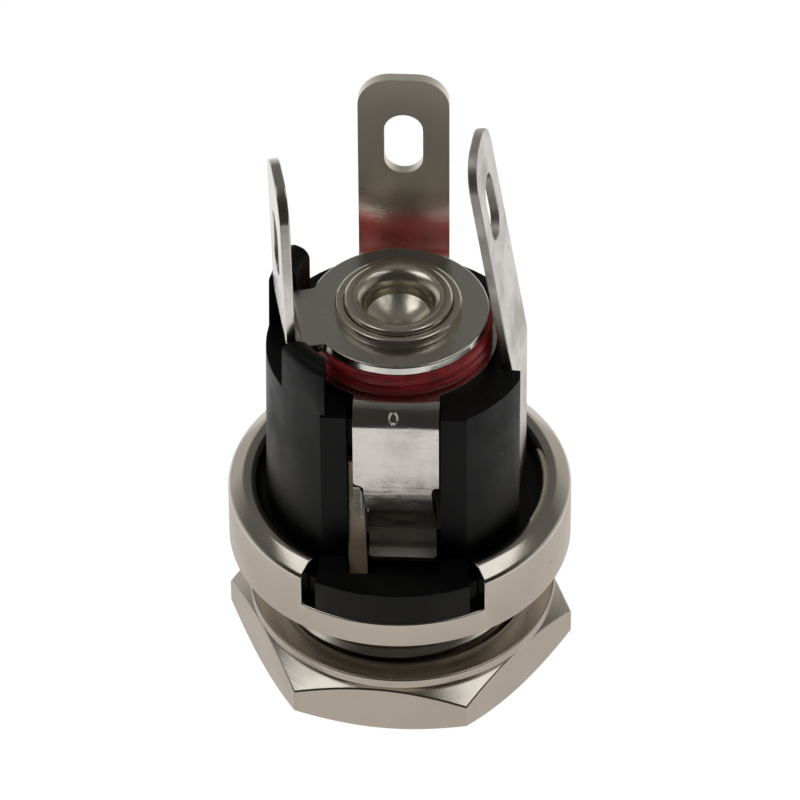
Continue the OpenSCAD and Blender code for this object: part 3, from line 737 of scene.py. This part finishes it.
def build_bushing(size, steps):
    """Turned bushing: bored neck, flange, cup with its key notch, and the lip rolled over the base ring."""
    flange_r, core_r, bore_r = size.flange_d / 2, size.core_d / 2, size.bore_d / 2
    inner_r = flange_r - size.lip_reach
    lip_peak_z = size.lip_corner_z + size.lip_reach * math.tan(size.lip_slope)
    floor_z, neck = size.floor_z, size.neck_len
    lead_h, lead_r, nose_chamfer = 0.25 * MM, 0.2 * MM, 0.15 * MM
    neck_fillet, lip_under_r = 0.08 * MM, 0.06 * MM
    lower = rounded(
        [
            (size.cup_r, floor_z),
            (bore_r, floor_z),
            (bore_r, lead_h),
            (bore_r + lead_r, 0),
            (core_r - nose_chamfer, 0),
            (core_r, nose_chamfer),
            (core_r, neck),
            (flange_r, neck),
            (flange_r, floor_z),
        ],
        [0, 0, 0, 0, 0, 0, neck_fillet, size.flange_edge_r, 0],
    )
    wall = rounded(
        [
            (flange_r, floor_z),
            (flange_r, size.lip_corner_z),
            (inner_r, lip_peak_z),
            (inner_r, size.lip_under_z),
            (size.cup_r, size.lip_under_z),
            (size.cup_r, floor_z),
        ],
        [0, size.lip_corner_r, size.lip_edge_r, lip_under_r, 0, 0],
        steps=12,
    )
    half, front = size.notch_half, -math.pi / 2
    notch_steps = max(8, round(steps * half / math.pi))
    wall_steps = steps - notch_steps
    notch_turns = [front - half + 2 * half * i / notch_steps for i in range(notch_steps + 1)]
    rest = 2 * math.pi - 2 * half
    wall_turns = [front + half + rest * i / wall_steps for i in range(wall_steps + 1)]
    bm = bmesh.new()
    revolve(bm, lower, notch_turns[:-1] + wall_turns[:-1])
    revolve(bm, [(flange_r, floor_z), (size.cup_r, floor_z)], notch_turns, wrap=False)
    rings = revolve(bm, wall, wall_turns, wrap=False)
    bm.faces.new(rings[0])
    bm.faces.new(rings[-1][::-1])
    finish_piece(
        "bushing_body", bm, "Nickel body", "nickel_body", ["bushing"],
        sharp=30, edge_r=0.05 * MM, edge_angle=50, join_flats=False,
    )


def thread_tree():
    """Geometry Nodes tree that winds a thread ridge round the axis."""
    tree = bpy.data.node_groups.new("Thread ridge", "GeometryNodeTree")
    for key in ("Root radius", "Depth", "Start", "Height", "Turns"):
        tree.interface.new_socket(name=key, in_out="INPUT", socket_type="NodeSocketFloat")
    tree.interface.new_socket(name="Finish", in_out="INPUT", socket_type="NodeSocketMaterial")
    tree.interface.new_socket(name="Geometry", in_out="OUTPUT", socket_type="NodeSocketGeometry")
    given = tree.nodes.new("NodeGroupInput").outputs
    radius = given["Root radius"]
    radii = {"Start Radius": radius, "End Radius": radius}
    rise = {"Rotations": given["Turns"], "Height": given["Height"]}
    spiral = add(tree, "GeometryNodeCurveSpiral", {"Resolution": 96, "Reverse": True, **radii, **rise})
    upright = add(tree, "GeometryNodeSetCurveNormal", {"Curve": spiral.outputs[0]}, mode="Z_UP")
    ridge = add(tree, "GeometryNodeCurvePrimitiveCircle", {"Resolution": 8, "Radius": given["Depth"]})
    along = {"Curve": upright.outputs[0], "Profile Curve": ridge.outputs[0], "Fill Caps": True}
    swept = add(tree, "GeometryNodeCurveToMesh", along)
    raised = add(tree, "ShaderNodeCombineXYZ", {"Z": given["Start"]})
    placed = {"Geometry": swept.outputs[0], "Translation": raised.outputs[0]}
    moved = add(tree, "GeometryNodeTransform", placed)
    real = add(tree, "GeometryNodeRealizeInstances", {"Geometry": moved.outputs[0]})
    painted = {"Geometry": real.outputs[0], "Material": given["Finish"]}
    add(tree, "NodeGroupOutput", {0: add(tree, "GeometryNodeSetMaterial", painted).outputs[0]})
    return tree


def build_thread(size):
    """Outside thread on the neck."""
    tree = thread_tree()
    crest_gap, lead_in, run_out = 0.01 * MM, 0.03 * MM, 0.1 * MM
    depth = (size.thread_d - size.core_d) / 2 - crest_gap
    start = depth + lead_in
    run = size.neck_len - start - depth - run_out
    values = {
        "Root radius": size.core_d / 2,
        "Depth": depth,
        "Start": start,
        "Height": run,
        "Turns": run / size.pitch,
        "Finish": finish("Nickel body"),
    }
    carrier = new_object("thread_carrier", bpy.data.meshes.new("thread_carrier"))
    modifier = carrier.modifiers.new("Thread", "NODES")
    modifier.node_group = tree
    for item in tree.interface.items_tree:
        if item.item_type == "SOCKET" and item.in_out == "INPUT":
            modifier[item.identifier] = values[item.name]
    bpy.context.view_layer.update()
    made = bpy.data.meshes.new_from_object(carrier.evaluated_get(bpy.context.evaluated_depsgraph_get()))
    bpy.data.objects.remove(carrier)
    made.name = "bushing_thread"
    dress(new_object("bushing_thread", made), "Nickel body", "nickel_body", [], sharp=40)


def build_nut(size, steps):
    """Hex nut with conical chamfers on both faces."""
    low, high = heights("hex_nut")
    high += size.crown_h
    face_r, bore_r = size.face_d / 2, size.bore_d / 2
    lead = 0.25 * MM
    steps = 6 * max(4, round(steps / 6))
    bm = bmesh.new()
    rings = []
    for i in range(steps):
        turn = 2 * math.pi * i / steps
        flat = (turn % (math.pi / 3)) - math.pi / 6
        edge = size.across_flats / 2 / math.cos(flat)
        fall = (edge - face_r) * math.tan(size.chamfer)
        line = [
            (bore_r, low + lead),
            (bore_r + lead, low),
            (face_r, low),
            (edge, low + fall),
            (edge, high - fall),
            (face_r, high),
            (bore_r + lead, high),
            (bore_r, high - lead),
        ]
        rings.append(ring(bm, line, turn + size.turn))
    join_rings(bm, rings, closed=True)
    finish_piece(
        "hex_nut_body", bm, "Nickel nut", "nickel_nut", ["hex_nut"],
        sharp=22, edge_r=size.edge_r, edge_angle=24, join_flats=False,
    )


def build_plain_washer(size, steps):
    """Plain washer that lies loose on the nut, under the panel."""
    lift, bore_gap = 0.01 * MM, 0.02 * MM
    low = heights("hex_nut")[1] + size.crown_h + lift
    high, outer, inner = low + size.washer_t, size.washer_d / 2, size.bore_d / 2 + bore_gap
    line = rounded(
        [(inner, low), (outer, low), (outer, high), (inner, high)],
        [0.03 * MM, 0.05 * MM, 0.09 * MM, 0.05 * MM],
        closed=True,
    )
    line.append(line[0])
    bm = bmesh.new()
    revolve(bm, line, full_turn(steps))
    bmesh.ops.translate(bm, verts=bm.verts, vec=(size.washer_shift, 0, 0))
    finish_piece("plain_washer_body", bm, "Nickel washer", "nickel_nut", [], join_flats=False)


def build_insulator(size):
    """Moulded insulator. Its bevel comes out almost without width, so the edges stay sharp."""
    bm = bmesh.new()
    bm.from_mesh(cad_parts["insulator"].data)
    bmesh.ops.remove_doubles(bm, verts=bm.verts, dist=10 * SAME_POINT)
    bmesh.ops.dissolve_limit(bm, angle_limit=math.radians(0.6), verts=bm.verts, edges=bm.edges)
    finish_piece(
        "insulator_body", bm, "Black plastic", "black_plastic", ["insulator"],
        sharp=30, edge_r=size.edge_r, edge_angle=40, join_flats=False,
    )


def build_washer(name, node, size, steps, phase):
    """One fibre washer, its punched edge a little uneven."""
    low, high = heights(node)
    outer = span(node, 0) / 2
    inner = size.tail_d / 2 + size.fit
    middle, half = (low + high) / 2, (high - low) / 2
    bulge = 0.5 * half
    bm = bmesh.new()
    rings = []
    for turn in full_turn(steps):
        wander = sum(height * math.sin(lobes * turn + share * phase) for lobes, height, share in WASHER_LOBES)
        edge = outer - size.washer_wave * (1.6 + wander) / 2 - bulge
        line = [(inner, low), (edge, low)]
        for degrees in range(-75, 90, 15):
            a = math.radians(degrees)
            line.append((edge + bulge * math.cos(a), middle + half * math.sin(a)))
        line += [(edge, high), (inner, high)]
        rings.append(ring(bm, line, turn))
    join_rings(bm, rings, closed=True)
    finish_piece(name, bm, "Red fibre", "red_fibre", [node], sharp=40, join_flats=False)


def build_pin(size, steps):
    """Centre pin with its shoulder, tail and flared end."""
    low, high = heights("centre_pin")
    pin_r, tail_r, bore_r = size.pin_d / 2, size.tail_d / 2, size.bore_d / 2
    flare_r, funnel_r = size.flare_d / 2, size.funnel_d / 2
    seat, crease = high - size.flare_h, high - size.funnel_h
    bore_z = crease - size.bore_l
    dome_h, shoulder_r, flare_r_low, flare_r_high = 0.6 * pin_r, 0.08 * MM, 0.1 * MM, 0.16 * MM
    line = []
    for degrees in range(0, 91, 10):
        a = math.radians(degrees)
        line.append((pin_r * math.sin(a), low + dome_h * (1 - math.cos(a))))
    line += rounded(
        [
            (pin_r, size.shoulder_z),
            (size.shoulder_d / 2, size.shoulder_z),
            (size.shoulder_d / 2, size.shoulder_z + size.shoulder_t),
            (tail_r, size.shoulder_z + size.shoulder_t),
            (tail_r, seat),
            (flare_r, seat),
            (flare_r, high),
            (funnel_r, high),
        ],
        [0, shoulder_r, 0, 0, 0, flare_r_low, flare_r_high, 0],
        steps=8,
    )
    for degrees in range(82, -1, -8):
        a = math.radians(degrees)
        line.append((funnel_r - (funnel_r - bore_r) * math.cos(a), crease + size.funnel_h * math.sin(a)))
    cone, corner_sink = math.tan(size.drill_slope), 0.02 * MM
    line += [(bore_r, bore_z), (0.85 * bore_r, bore_z - 0.15 * bore_r * cone - corner_sink)]
    line.append((0, bore_z - bore_r * cone))
    turned_piece("centre_pin_body", line, steps, "Nickel pin", "nickel_pin", ["centre_pin"])


def build_cup(size, steps):
    """Rivet cup under the flared end."""
    low, high = heights("rivet_cup")
    outer = span("rivet_cup", 0) / 2
    inner = outer - size.cup_rim_t
    hole = size.tail_d / 2 + size.fit
    line = rounded(
        [
            (hole, low),
            (outer, low),
            (outer, high),
            (inner, high),
            (inner, low + size.cup_t),
            (hole, low + size.cup_t),
            (hole, low),
        ],
        [0, 0.03 * MM, 0.13 * MM, 0.06 * MM, 0, 0, 0],
    )
    turned_piece("rivet_cup_body", line, steps, "Nickel pin", "nickel_pin", ["rivet_cup"])


def lug_end(start, end, half_w, radius):
    """The far end of a strip, as points from its left edge round to its right edge."""
    if end > start:
        return (
            [(start, -half_w)]
            + arc((end - radius, -half_w + radius), radius, -90, 0, 10)
            + arc((end - radius, half_w - radius), radius, 0, 90, 10)
            + [(start, half_w)]
        )
    return [(2 * start - s, -w) for s, w in lug_end(start, 2 * start - end, half_w, radius)]


def wire_slot(s, size):
    """Closed line of a wire slot with its middle at distance s."""
    r, straight = size.slot_w / 2, (size.slot_l - size.slot_w) / 2
    return arc((s + straight, 0), r, -90, 90, 12) + arc((s - straight, 0), r, 90, 270, 12)


def disc_arc(middle, radius, half_w, far_half_w=None):
    """Round side of a plate between the strips that leave it; without a far strip it goes all round."""
    start = math.degrees(math.asin(half_w / radius))
    if far_half_w is None:
        return arc((middle, 0), radius, start, 360 - start, 60)
    return arc((middle, 0), radius, start, 180 - math.degrees(math.asin(far_half_w / radius)), 26)


def round_hole(middle, diameter):
    """Closed line of a round hole in a plate."""
    return arc((middle, 0), diameter / 2, 0, 352.5, 47)


def build_pin_terminal(size):
    """Plate, arm and lug that carry the centre pin's current."""
    half_w, t = size.lug_w / 2, size.sheet_t
    low, top = heights("pin_terminal")
    plate = low + t / 2
    foot = size.pin_reach - t / 2
    margin = 0.3 * MM
    far = size.pin_plate_d / 2 + margin
    rise = top - plate
    lug = foot + rise * math.tan(size.pin_lean)
    fold = Fold([(-far, plate), (foot, plate), (lug, top)], [0, size.bend_r, 0])
    outline = lug_end(far + 1 * MM, fold.length, half_w, size.corner_r)
    outline += disc_arc(far, size.pin_plate_d / 2, half_w)
    hole = round_hole(far, size.tail_hole_d)
    slot = wire_slot(fold.length - size.pin_slot_drop, size)
    bm = bmesh.new()
    sheet(bm, [outline, hole, slot], fold, t, turned_place(math.pi + size.pin_turn), reach=6 * MM)
    finish_piece(
        "pin_terminal_body", bm, "Pin terminal plate", "terminal_plate", ["pin_terminal"], edge_r=size.edge_r
    )


def nose_edge(size, side, z):
    """Sideways place of the nose's edge at height z."""
    return size.nose_shift + side * size.nose_w / 2 + (size.leg_z - z) * math.tan(size.nose_lean)


def build_sleeve_terminal(size):
    """Plate with the back lug and the spring that touches the plug's sleeve."""
    half_w, t = size.lug_w / 2, size.sheet_t
    top = heights("sleeve_terminal")[1]
    plate = size.sleeve_plate_z + t / 2
    plate_r = size.sleeve_plate_d / 2
    lug = size.sleeve_reach + t / 2
    leg = size.spring_reach - t / 2
    nose = size.nose_r + t / 2
    fold = Fold(
        [
            (-size.tip_reach, size.tip_z - size.tip_drop),
            (size.tip_end - size.tip_reach, size.tip_z),
            (size.tip_run - size.tip_reach, size.tip_z),
            (-nose, size.nose_z),
            (-leg, size.bow_z),
            (-leg, plate),
            (lug, plate),
            (lug, top),
        ],
        [0, *SPRING_BENDS, size.bend_r, size.bend_r, 0],
        steps=14,
    )
    middle = fold.nearest(-leg + size.bend_r, plate) + leg - size.bend_r
    shoulder = fold.nearest(-leg, size.leg_z + size.shoulder_up)
    tip = fold.at(0)[0].y
    shift = size.spring_shift
    left_tip, left_root = nose_edge(size, -1, tip), nose_edge(size, -1, size.leg_z)
    right_tip, right_root = nose_edge(size, 1, tip), nose_edge(size, 1, size.leg_z)
    step, tip_cut, waist = 0.12 * MM, 0.1 * MM, middle - plate_r * 0.9
    half_lug = size.sleeve_lug_w / 2
    outline = lug_end(middle + 1 * MM, fold.length, half_lug, size.corner_r)
    outline += disc_arc(middle, plate_r, half_lug, half_w - shift)
    outline += [
        (waist, half_w - shift),
        (shoulder + 2 * step, half_w - shift),
        (shoulder + step, half_w - shift - 0.4 * step),
        (shoulder, -left_root + step),
        (shoulder - step, -left_root),
        (tip_cut, -left_tip),
        (0, -left_tip - tip_cut),
        (0, -right_tip + tip_cut),
        (tip_cut, -right_tip),
        (shoulder - 2 * step, -right_root),
        (shoulder - step, -right_root - 0.3 * step),
        (shoulder, -right_root - step),
        (shoulder, -half_w - shift),
        (waist, -half_w - shift),
    ]
    outline += [(s, -w) for s, w in reversed(disc_arc(middle, plate_r, half_lug, half_w + shift))]
    hole = round_hole(middle, size.boss_hole_d)
    slot = wire_slot(fold.length - size.slot_drop, size)
    bm = bmesh.new()
    sheet(bm, [outline, hole, slot], fold, t, turned_place(math.pi / 2), reach=8 * MM)
    ear_slit, ear_root, ear_cut = 0.05 * MM, 0.35 * MM, 0.12 * MM
    ear_right = size.nose_shift - size.nose_w / 2 - ear_slit
    ear_left = shift - half_w
    ear_low = size.leg_z - size.ear_l
    ear = Fold([(leg, ear_low), (leg, size.leg_z + ear_root)], [0, 0])
    ear_top = size.ear_l + ear_root
    ear_line = rounded(
        [
            (ear_top, ear_left),
            (ear_top, ear_right - ear_cut),
            (size.ear_l, ear_right),
            (0, ear_right),
            (0, ear_right - ear_cut),
            (0.45 * MM, ear_left),
        ],
        [0, 0, 0, 0.04 * MM, 0.15 * MM, 0.5 * MM],
        closed=True,
    )
    sheet(bm, [ear_line], ear, t, turned_place(-math.pi / 2), reach=3 * MM)
    finish_piece(
        "sleeve_terminal_body", bm, "Spring plate", "spring_plate", ["sleeve_terminal"], edge_r=size.edge_r
    )


def build_shunt_terminal(size):
    """Side blade with its lug, the leaf behind the spring, and the web that joins them in the plastic."""
    half_w, t = size.lug_w / 2, size.shunt_t
    low, top = heights("shunt_terminal")
    blade = size.blade_reach - t / 2
    rise = top - size.lean_z
    fold = Fold(
        [(blade, low), (blade, size.lean_z), (blade - rise * math.tan(size.shunt_lean), top)], [0, 3 * MM, 0]
    )
    outline = lug_end(0, fold.length, half_w, size.corner_r)
    slot = wire_slot(fold.length - size.slot_drop, size)
    bm = bmesh.new()
    sheet(bm, [outline, slot], fold, t, turned_place(-size.blade_turn, size.blade_shift), reach=4 * MM)
    lean = math.atan((size.leaf_foot - size.leaf_face) / (size.leg_z - size.ear_l - size.leaf_z))
    foot = size.leaf_foot - t / 2 + (size.leaf_z - low) * math.tan(lean)
    upper = size.leaf_face - t / 2
    leaf = Fold([(foot, low), (upper, size.leg_z - size.ear_l), (upper, size.leaf_top)], [0, 1 * MM, 0])
    right = size.leaf_left + size.leaf_w
    right_top = right - (size.leaf_top - size.leaf_z) * math.tan(size.nose_lean)
    pattern = [(0, size.leaf_left), (0, right), (leaf.length, right_top), (leaf.length, size.leaf_left)]
    sheet(bm, [pattern], leaf, t, turned_place(-math.pi / 2), reach=3 * MM)
    web_inner, web_outer, web_start, web_sweep = 4.4 * MM, 5.5 * MM, -113, 137
    turns = [math.radians(web_start + web_sweep * i / 40) for i in range(41)]
    web = [(web_inner, low), (web_outer, low), (web_outer, low + t), (web_inner, low + t), (web_inner, low)]
    rings = revolve(bm, web, turns, wrap=False)
    bm.faces.new(rings[0][:4])
    bm.faces.new(rings[-1][3::-1])
    finish_piece(
        "shunt_terminal_body", bm, "Shunt plate", "spring_plate", ["shunt_terminal"], edge_r=size.edge_r
    )


# ---- Stage ----

FLOOR_RAMP = (12 * MM, 26 * MM)  # painted shade of the part: the floor, as metal sees it, is darker near it and pales between these distances
FLOOR_EDGE = (-26 * MM, -34 * MM)  # and goes dark between these places in front
BACKDROP_RISE = (0.3, 0.52)  # upward part of the look where the pale backdrop ends
ROOM_TURN = (-0.35, 0.3)  # backward part of the look where the dark front ends
SOFTBOX_PLACE = (0.33, -0.03, 0.6)  # the right one; the left one mirrors it
SOFTBOX_SIZE = (0.4, 0.26)
SOFTBOX_TARGET = (0, 0, 0.012)
VIEW_ELEVATION, VIEW_AZIMUTH, VIEW_ROLL = math.radians(42.25), math.radians(3), math.radians(0.4)
VIEW_DISTANCE = 0.3
VIEW_AIM = (0.000037, 0, 0.014086)
SENSOR_WIDTH = 36  # millimetres


def by_ray(tree, to_metal, to_camera):
    """One shader for rays from the camera, another for all the rest."""
    rays = tree.nodes.new("ShaderNodeLightPath").outputs["Is Camera Ray"]
    return add(tree, "ShaderNodeMixShader", {0: rays, 1: to_metal, 2: to_camera}).outputs[0]


def floor_material(shade, near, far, edge):
    """White to the camera, with the part's shadow kept; to the metal, painted shade near the part, paler with
    distance.
    """
    material = bpy.data.materials.new("Pale floor")
    tree = empty_tree(material)
    where = tree.nodes.new("ShaderNodeTexCoord").outputs["Object"]
    limits = {"From Min": FLOOR_RAMP[0], "From Max": FLOOR_RAMP[1]}
    inputs = {"Value": distance(tree, where), **limits}
    ramp = add(tree, "ShaderNodeMapRange", inputs, interpolation_type="SMOOTHSTEP")
    # painted shade: the floor darker near the part and paler farther out, as metal sees it
    tone = mix_colour(tree, ramp.outputs["Result"], rgba(near), rgba(far))
    tone = mix_colour(tree, remap(tree, split(tree, where)["Y"], *FLOOR_EDGE), tone, rgba(edge))
    paper = add(tree, "ShaderNodeEmission", {"Color": tone})
    plain = add(tree, "ShaderNodeBsdfDiffuse", {"Color": rgba(shade, 0.12)})
    glow = add(tree, "ShaderNodeEmission", {"Color": rgba(shade), "Strength": 1.1})
    backdrop = add(tree, "ShaderNodeAddShader", {0: plain.outputs[0], 1: glow.outputs[0]})
    surface = by_ray(tree, paper.outputs[0], backdrop.outputs[0])
    add(tree, "ShaderNodeOutputMaterial", {"Surface": surface})
    return material


def build_world(front, back, low_back):
    """White to the camera; to the metal, dim behind above a pale backdrop and nearly dark in front."""
    world = bpy.data.worlds.new("Studio room")
    bpy.context.scene.world = world
    tree = empty_tree(world)
    look = split(tree, tree.nodes.new("ShaderNodeTexCoord").outputs["Generated"])
    behind = mix_colour(tree, remap(tree, look["Z"], *BACKDROP_RISE), rgba(low_back), rgba(back))
    room = mix_colour(tree, remap(tree, look["Y"], *ROOM_TURN), rgba(front), behind)
    dim = add(tree, "ShaderNodeBackground", {"Color": room, "Strength": 1.0})
    white = add(tree, "ShaderNodeBackground", {"Color": (1.0, 1.0, 1.0, 1.0), "Strength": 1.0})
    add(tree, "ShaderNodeOutputWorld", {"Surface": by_ray(tree, dim.outputs[0], white.outputs[0])})


def softbox(name, side, brightness):
    """Rectangular lamp above one side; its face looks as bright as the given level."""
    width, height = SOFTBOX_SIZE
    data = bpy.data.lights.new(name, "AREA")
    data.shape = "RECTANGLE"
    data.size, data.size_y = width, height
    data.energy = brightness * math.pi * width * height
    lamp = new_object(name, data)
    lamp.location = (side * SOFTBOX_PLACE[0], *SOFTBOX_PLACE[1:])
    lamp.rotation_mode = "QUATERNION"
    lamp.rotation_quaternion = (Vector(SOFTBOX_TARGET) - lamp.location).to_track_quat("-Z", "Y")


def build_camera(lens):
    """Long lens from the front, 42 degrees up and a little to the right, as the jack is usually shown."""
    turn = Matrix.Rotation(VIEW_AZIMUTH, 3, "Z")
    ahead = turn @ Vector((0, math.cos(VIEW_ELEVATION), -math.sin(VIEW_ELEVATION)))
    right = turn @ Vector((1, 0, 0))
    up = turn @ Vector((0, math.sin(VIEW_ELEVATION), math.cos(VIEW_ELEVATION)))
    rolled_right = right * math.cos(VIEW_ROLL) - up * math.sin(VIEW_ROLL)
    rolled_up = right * math.sin(VIEW_ROLL) + up * math.cos(VIEW_ROLL)
    data = bpy.data.cameras.new("Camera")
    data.lens = lens
    data.sensor_width = SENSOR_WIDTH
    data.clip_start, data.clip_end = 0.01, 20
    camera = new_object("Camera", data)
    axes = Matrix((rolled_right, rolled_up, -ahead)).transposed()
    place = turn @ Vector(VIEW_AIM) - ahead * VIEW_DISTANCE
    camera.matrix_world = Matrix.Translation(place) @ axes.to_4x4()
    bpy.context.scene.camera = camera


def build_stage(stage):
    bpy.context.scene.view_settings.view_transform = "Standard"
    half = stage.floor_size / 2
    bm = bmesh.new()
    corners = ((-half, -half), (half, -half), (half, half), (-half, half))
    bm.faces.new([bm.verts.new((x, y, 0)) for x, y in corners])
    mesh = bpy.data.meshes.new("Floor")
    bm.to_mesh(mesh)
    bm.free()
    floor = new_object("Floor", mesh)
    mesh.materials.append(floor_material(stage.floor, stage.near, stage.far, stage.front))
    build_world(stage.front, stage.back, stage.low_back)
    softbox("Left softbox", -1, stage.overhead)
    softbox("Right softbox", 1, stage.overhead)
    build_camera(stage.lens)


# ---- Operators ----


class JACK_OT_bushing(bpy.types.Operator):
    """Build the bushing and its thread"""

    bl_idname = "jack.bushing"
    bl_label = "Bushing"

    def execute(self, context):
        build_bushing(settings().bushing, settings().ring_steps)
        build_thread(settings().bushing)
        return {"FINISHED"}


class JACK_OT_nut(bpy.types.Operator):
    """Build the hex nut and the plain washer on it"""

    bl_idname = "jack.nut"
    bl_label = "Nut and washer"

    def execute(self, context):
        build_nut(settings().nut, settings().ring_steps)
        build_plain_washer(settings().nut, settings().ring_steps)
        return {"FINISHED"}


class JACK_OT_insulator(bpy.types.Operator):
    """Build the moulded insulator"""

    bl_idname = "jack.insulator"
    bl_label = "Insulator"

    def execute(self, context):
        build_insulator(settings().insulator)
        return {"FINISHED"}


class JACK_OT_stack(bpy.types.Operator):
    """Build the fibre washers, the rivet cup and the centre pin"""

    bl_idname = "jack.stack"
    bl_label = "Washers, cup and pin"

    def execute(self, context):
        size, steps = settings().stack, settings().ring_steps
        build_washer("lower_washer_body", "lower_washer", size, steps, 0.4)
        build_washer("upper_washer_body", "upper_washer", size, steps, 2.1)
        build_cup(size, steps)
        build_pin(size, steps)
        return {"FINISHED"}


class JACK_OT_terminals(bpy.types.Operator):
    """Build the three terminals"""

    bl_idname = "jack.terminals"
    bl_label = "Terminals"

    def execute(self, context):
        size = settings().terminals
        build_pin_terminal(size)
        build_sleeve_terminal(size)
        build_shunt_terminal(size)
        return {"FINISHED"}


class JACK_OT_stage(bpy.types.Operator):
    """Build the floor, the room, the lamps and the camera"""

    bl_idname = "jack.stage"
    bl_label = "Stage"

    def execute(self, context):
        build_stage(settings().stage)
        return {"FINISHED"}


class JACK_PT_panel(bpy.types.Panel):
    """Lists the pieces of the jack"""

    bl_idname = "JACK_PT_panel"
    bl_label = "DC power jack"
    bl_space_type = "VIEW_3D"
    bl_region_type = "UI"
    bl_category = "Jack"

    def draw(self, context):
        for operator in OPERATORS:
            self.layout.operator(operator.bl_idname)


PROPERTY_GROUPS = (
    JackBushingSizes, JackNutSizes, JackInsulatorSizes, JackStackSizes,
    JackTerminalSizes, JackFinishes, JackStage, JackSettings,
)
OPERATORS = (
    JACK_OT_bushing, JACK_OT_nut, JACK_OT_insulator, JACK_OT_stack, JACK_OT_terminals, JACK_OT_stage,
)


def register():
    for kind in (*PROPERTY_GROUPS, *OPERATORS, JACK_PT_panel):
        bpy.utils.register_class(kind)
    bpy.types.Scene.dc_jack = PointerProperty(type=JackSettings)


def unregister():
    del bpy.types.Scene.dc_jack
    for kind in reversed((*PROPERTY_GROUPS, *OPERATORS, JACK_PT_panel)):
        bpy.utils.unregister_class(kind)


def main():
    register()
    bpy.ops.jack.bushing()
    bpy.ops.jack.nut()
    bpy.ops.jack.insulator()
    bpy.ops.jack.stack()
    bpy.ops.jack.terminals()
    bpy.ops.jack.stage()


if __name__ == "__main__":
    main()
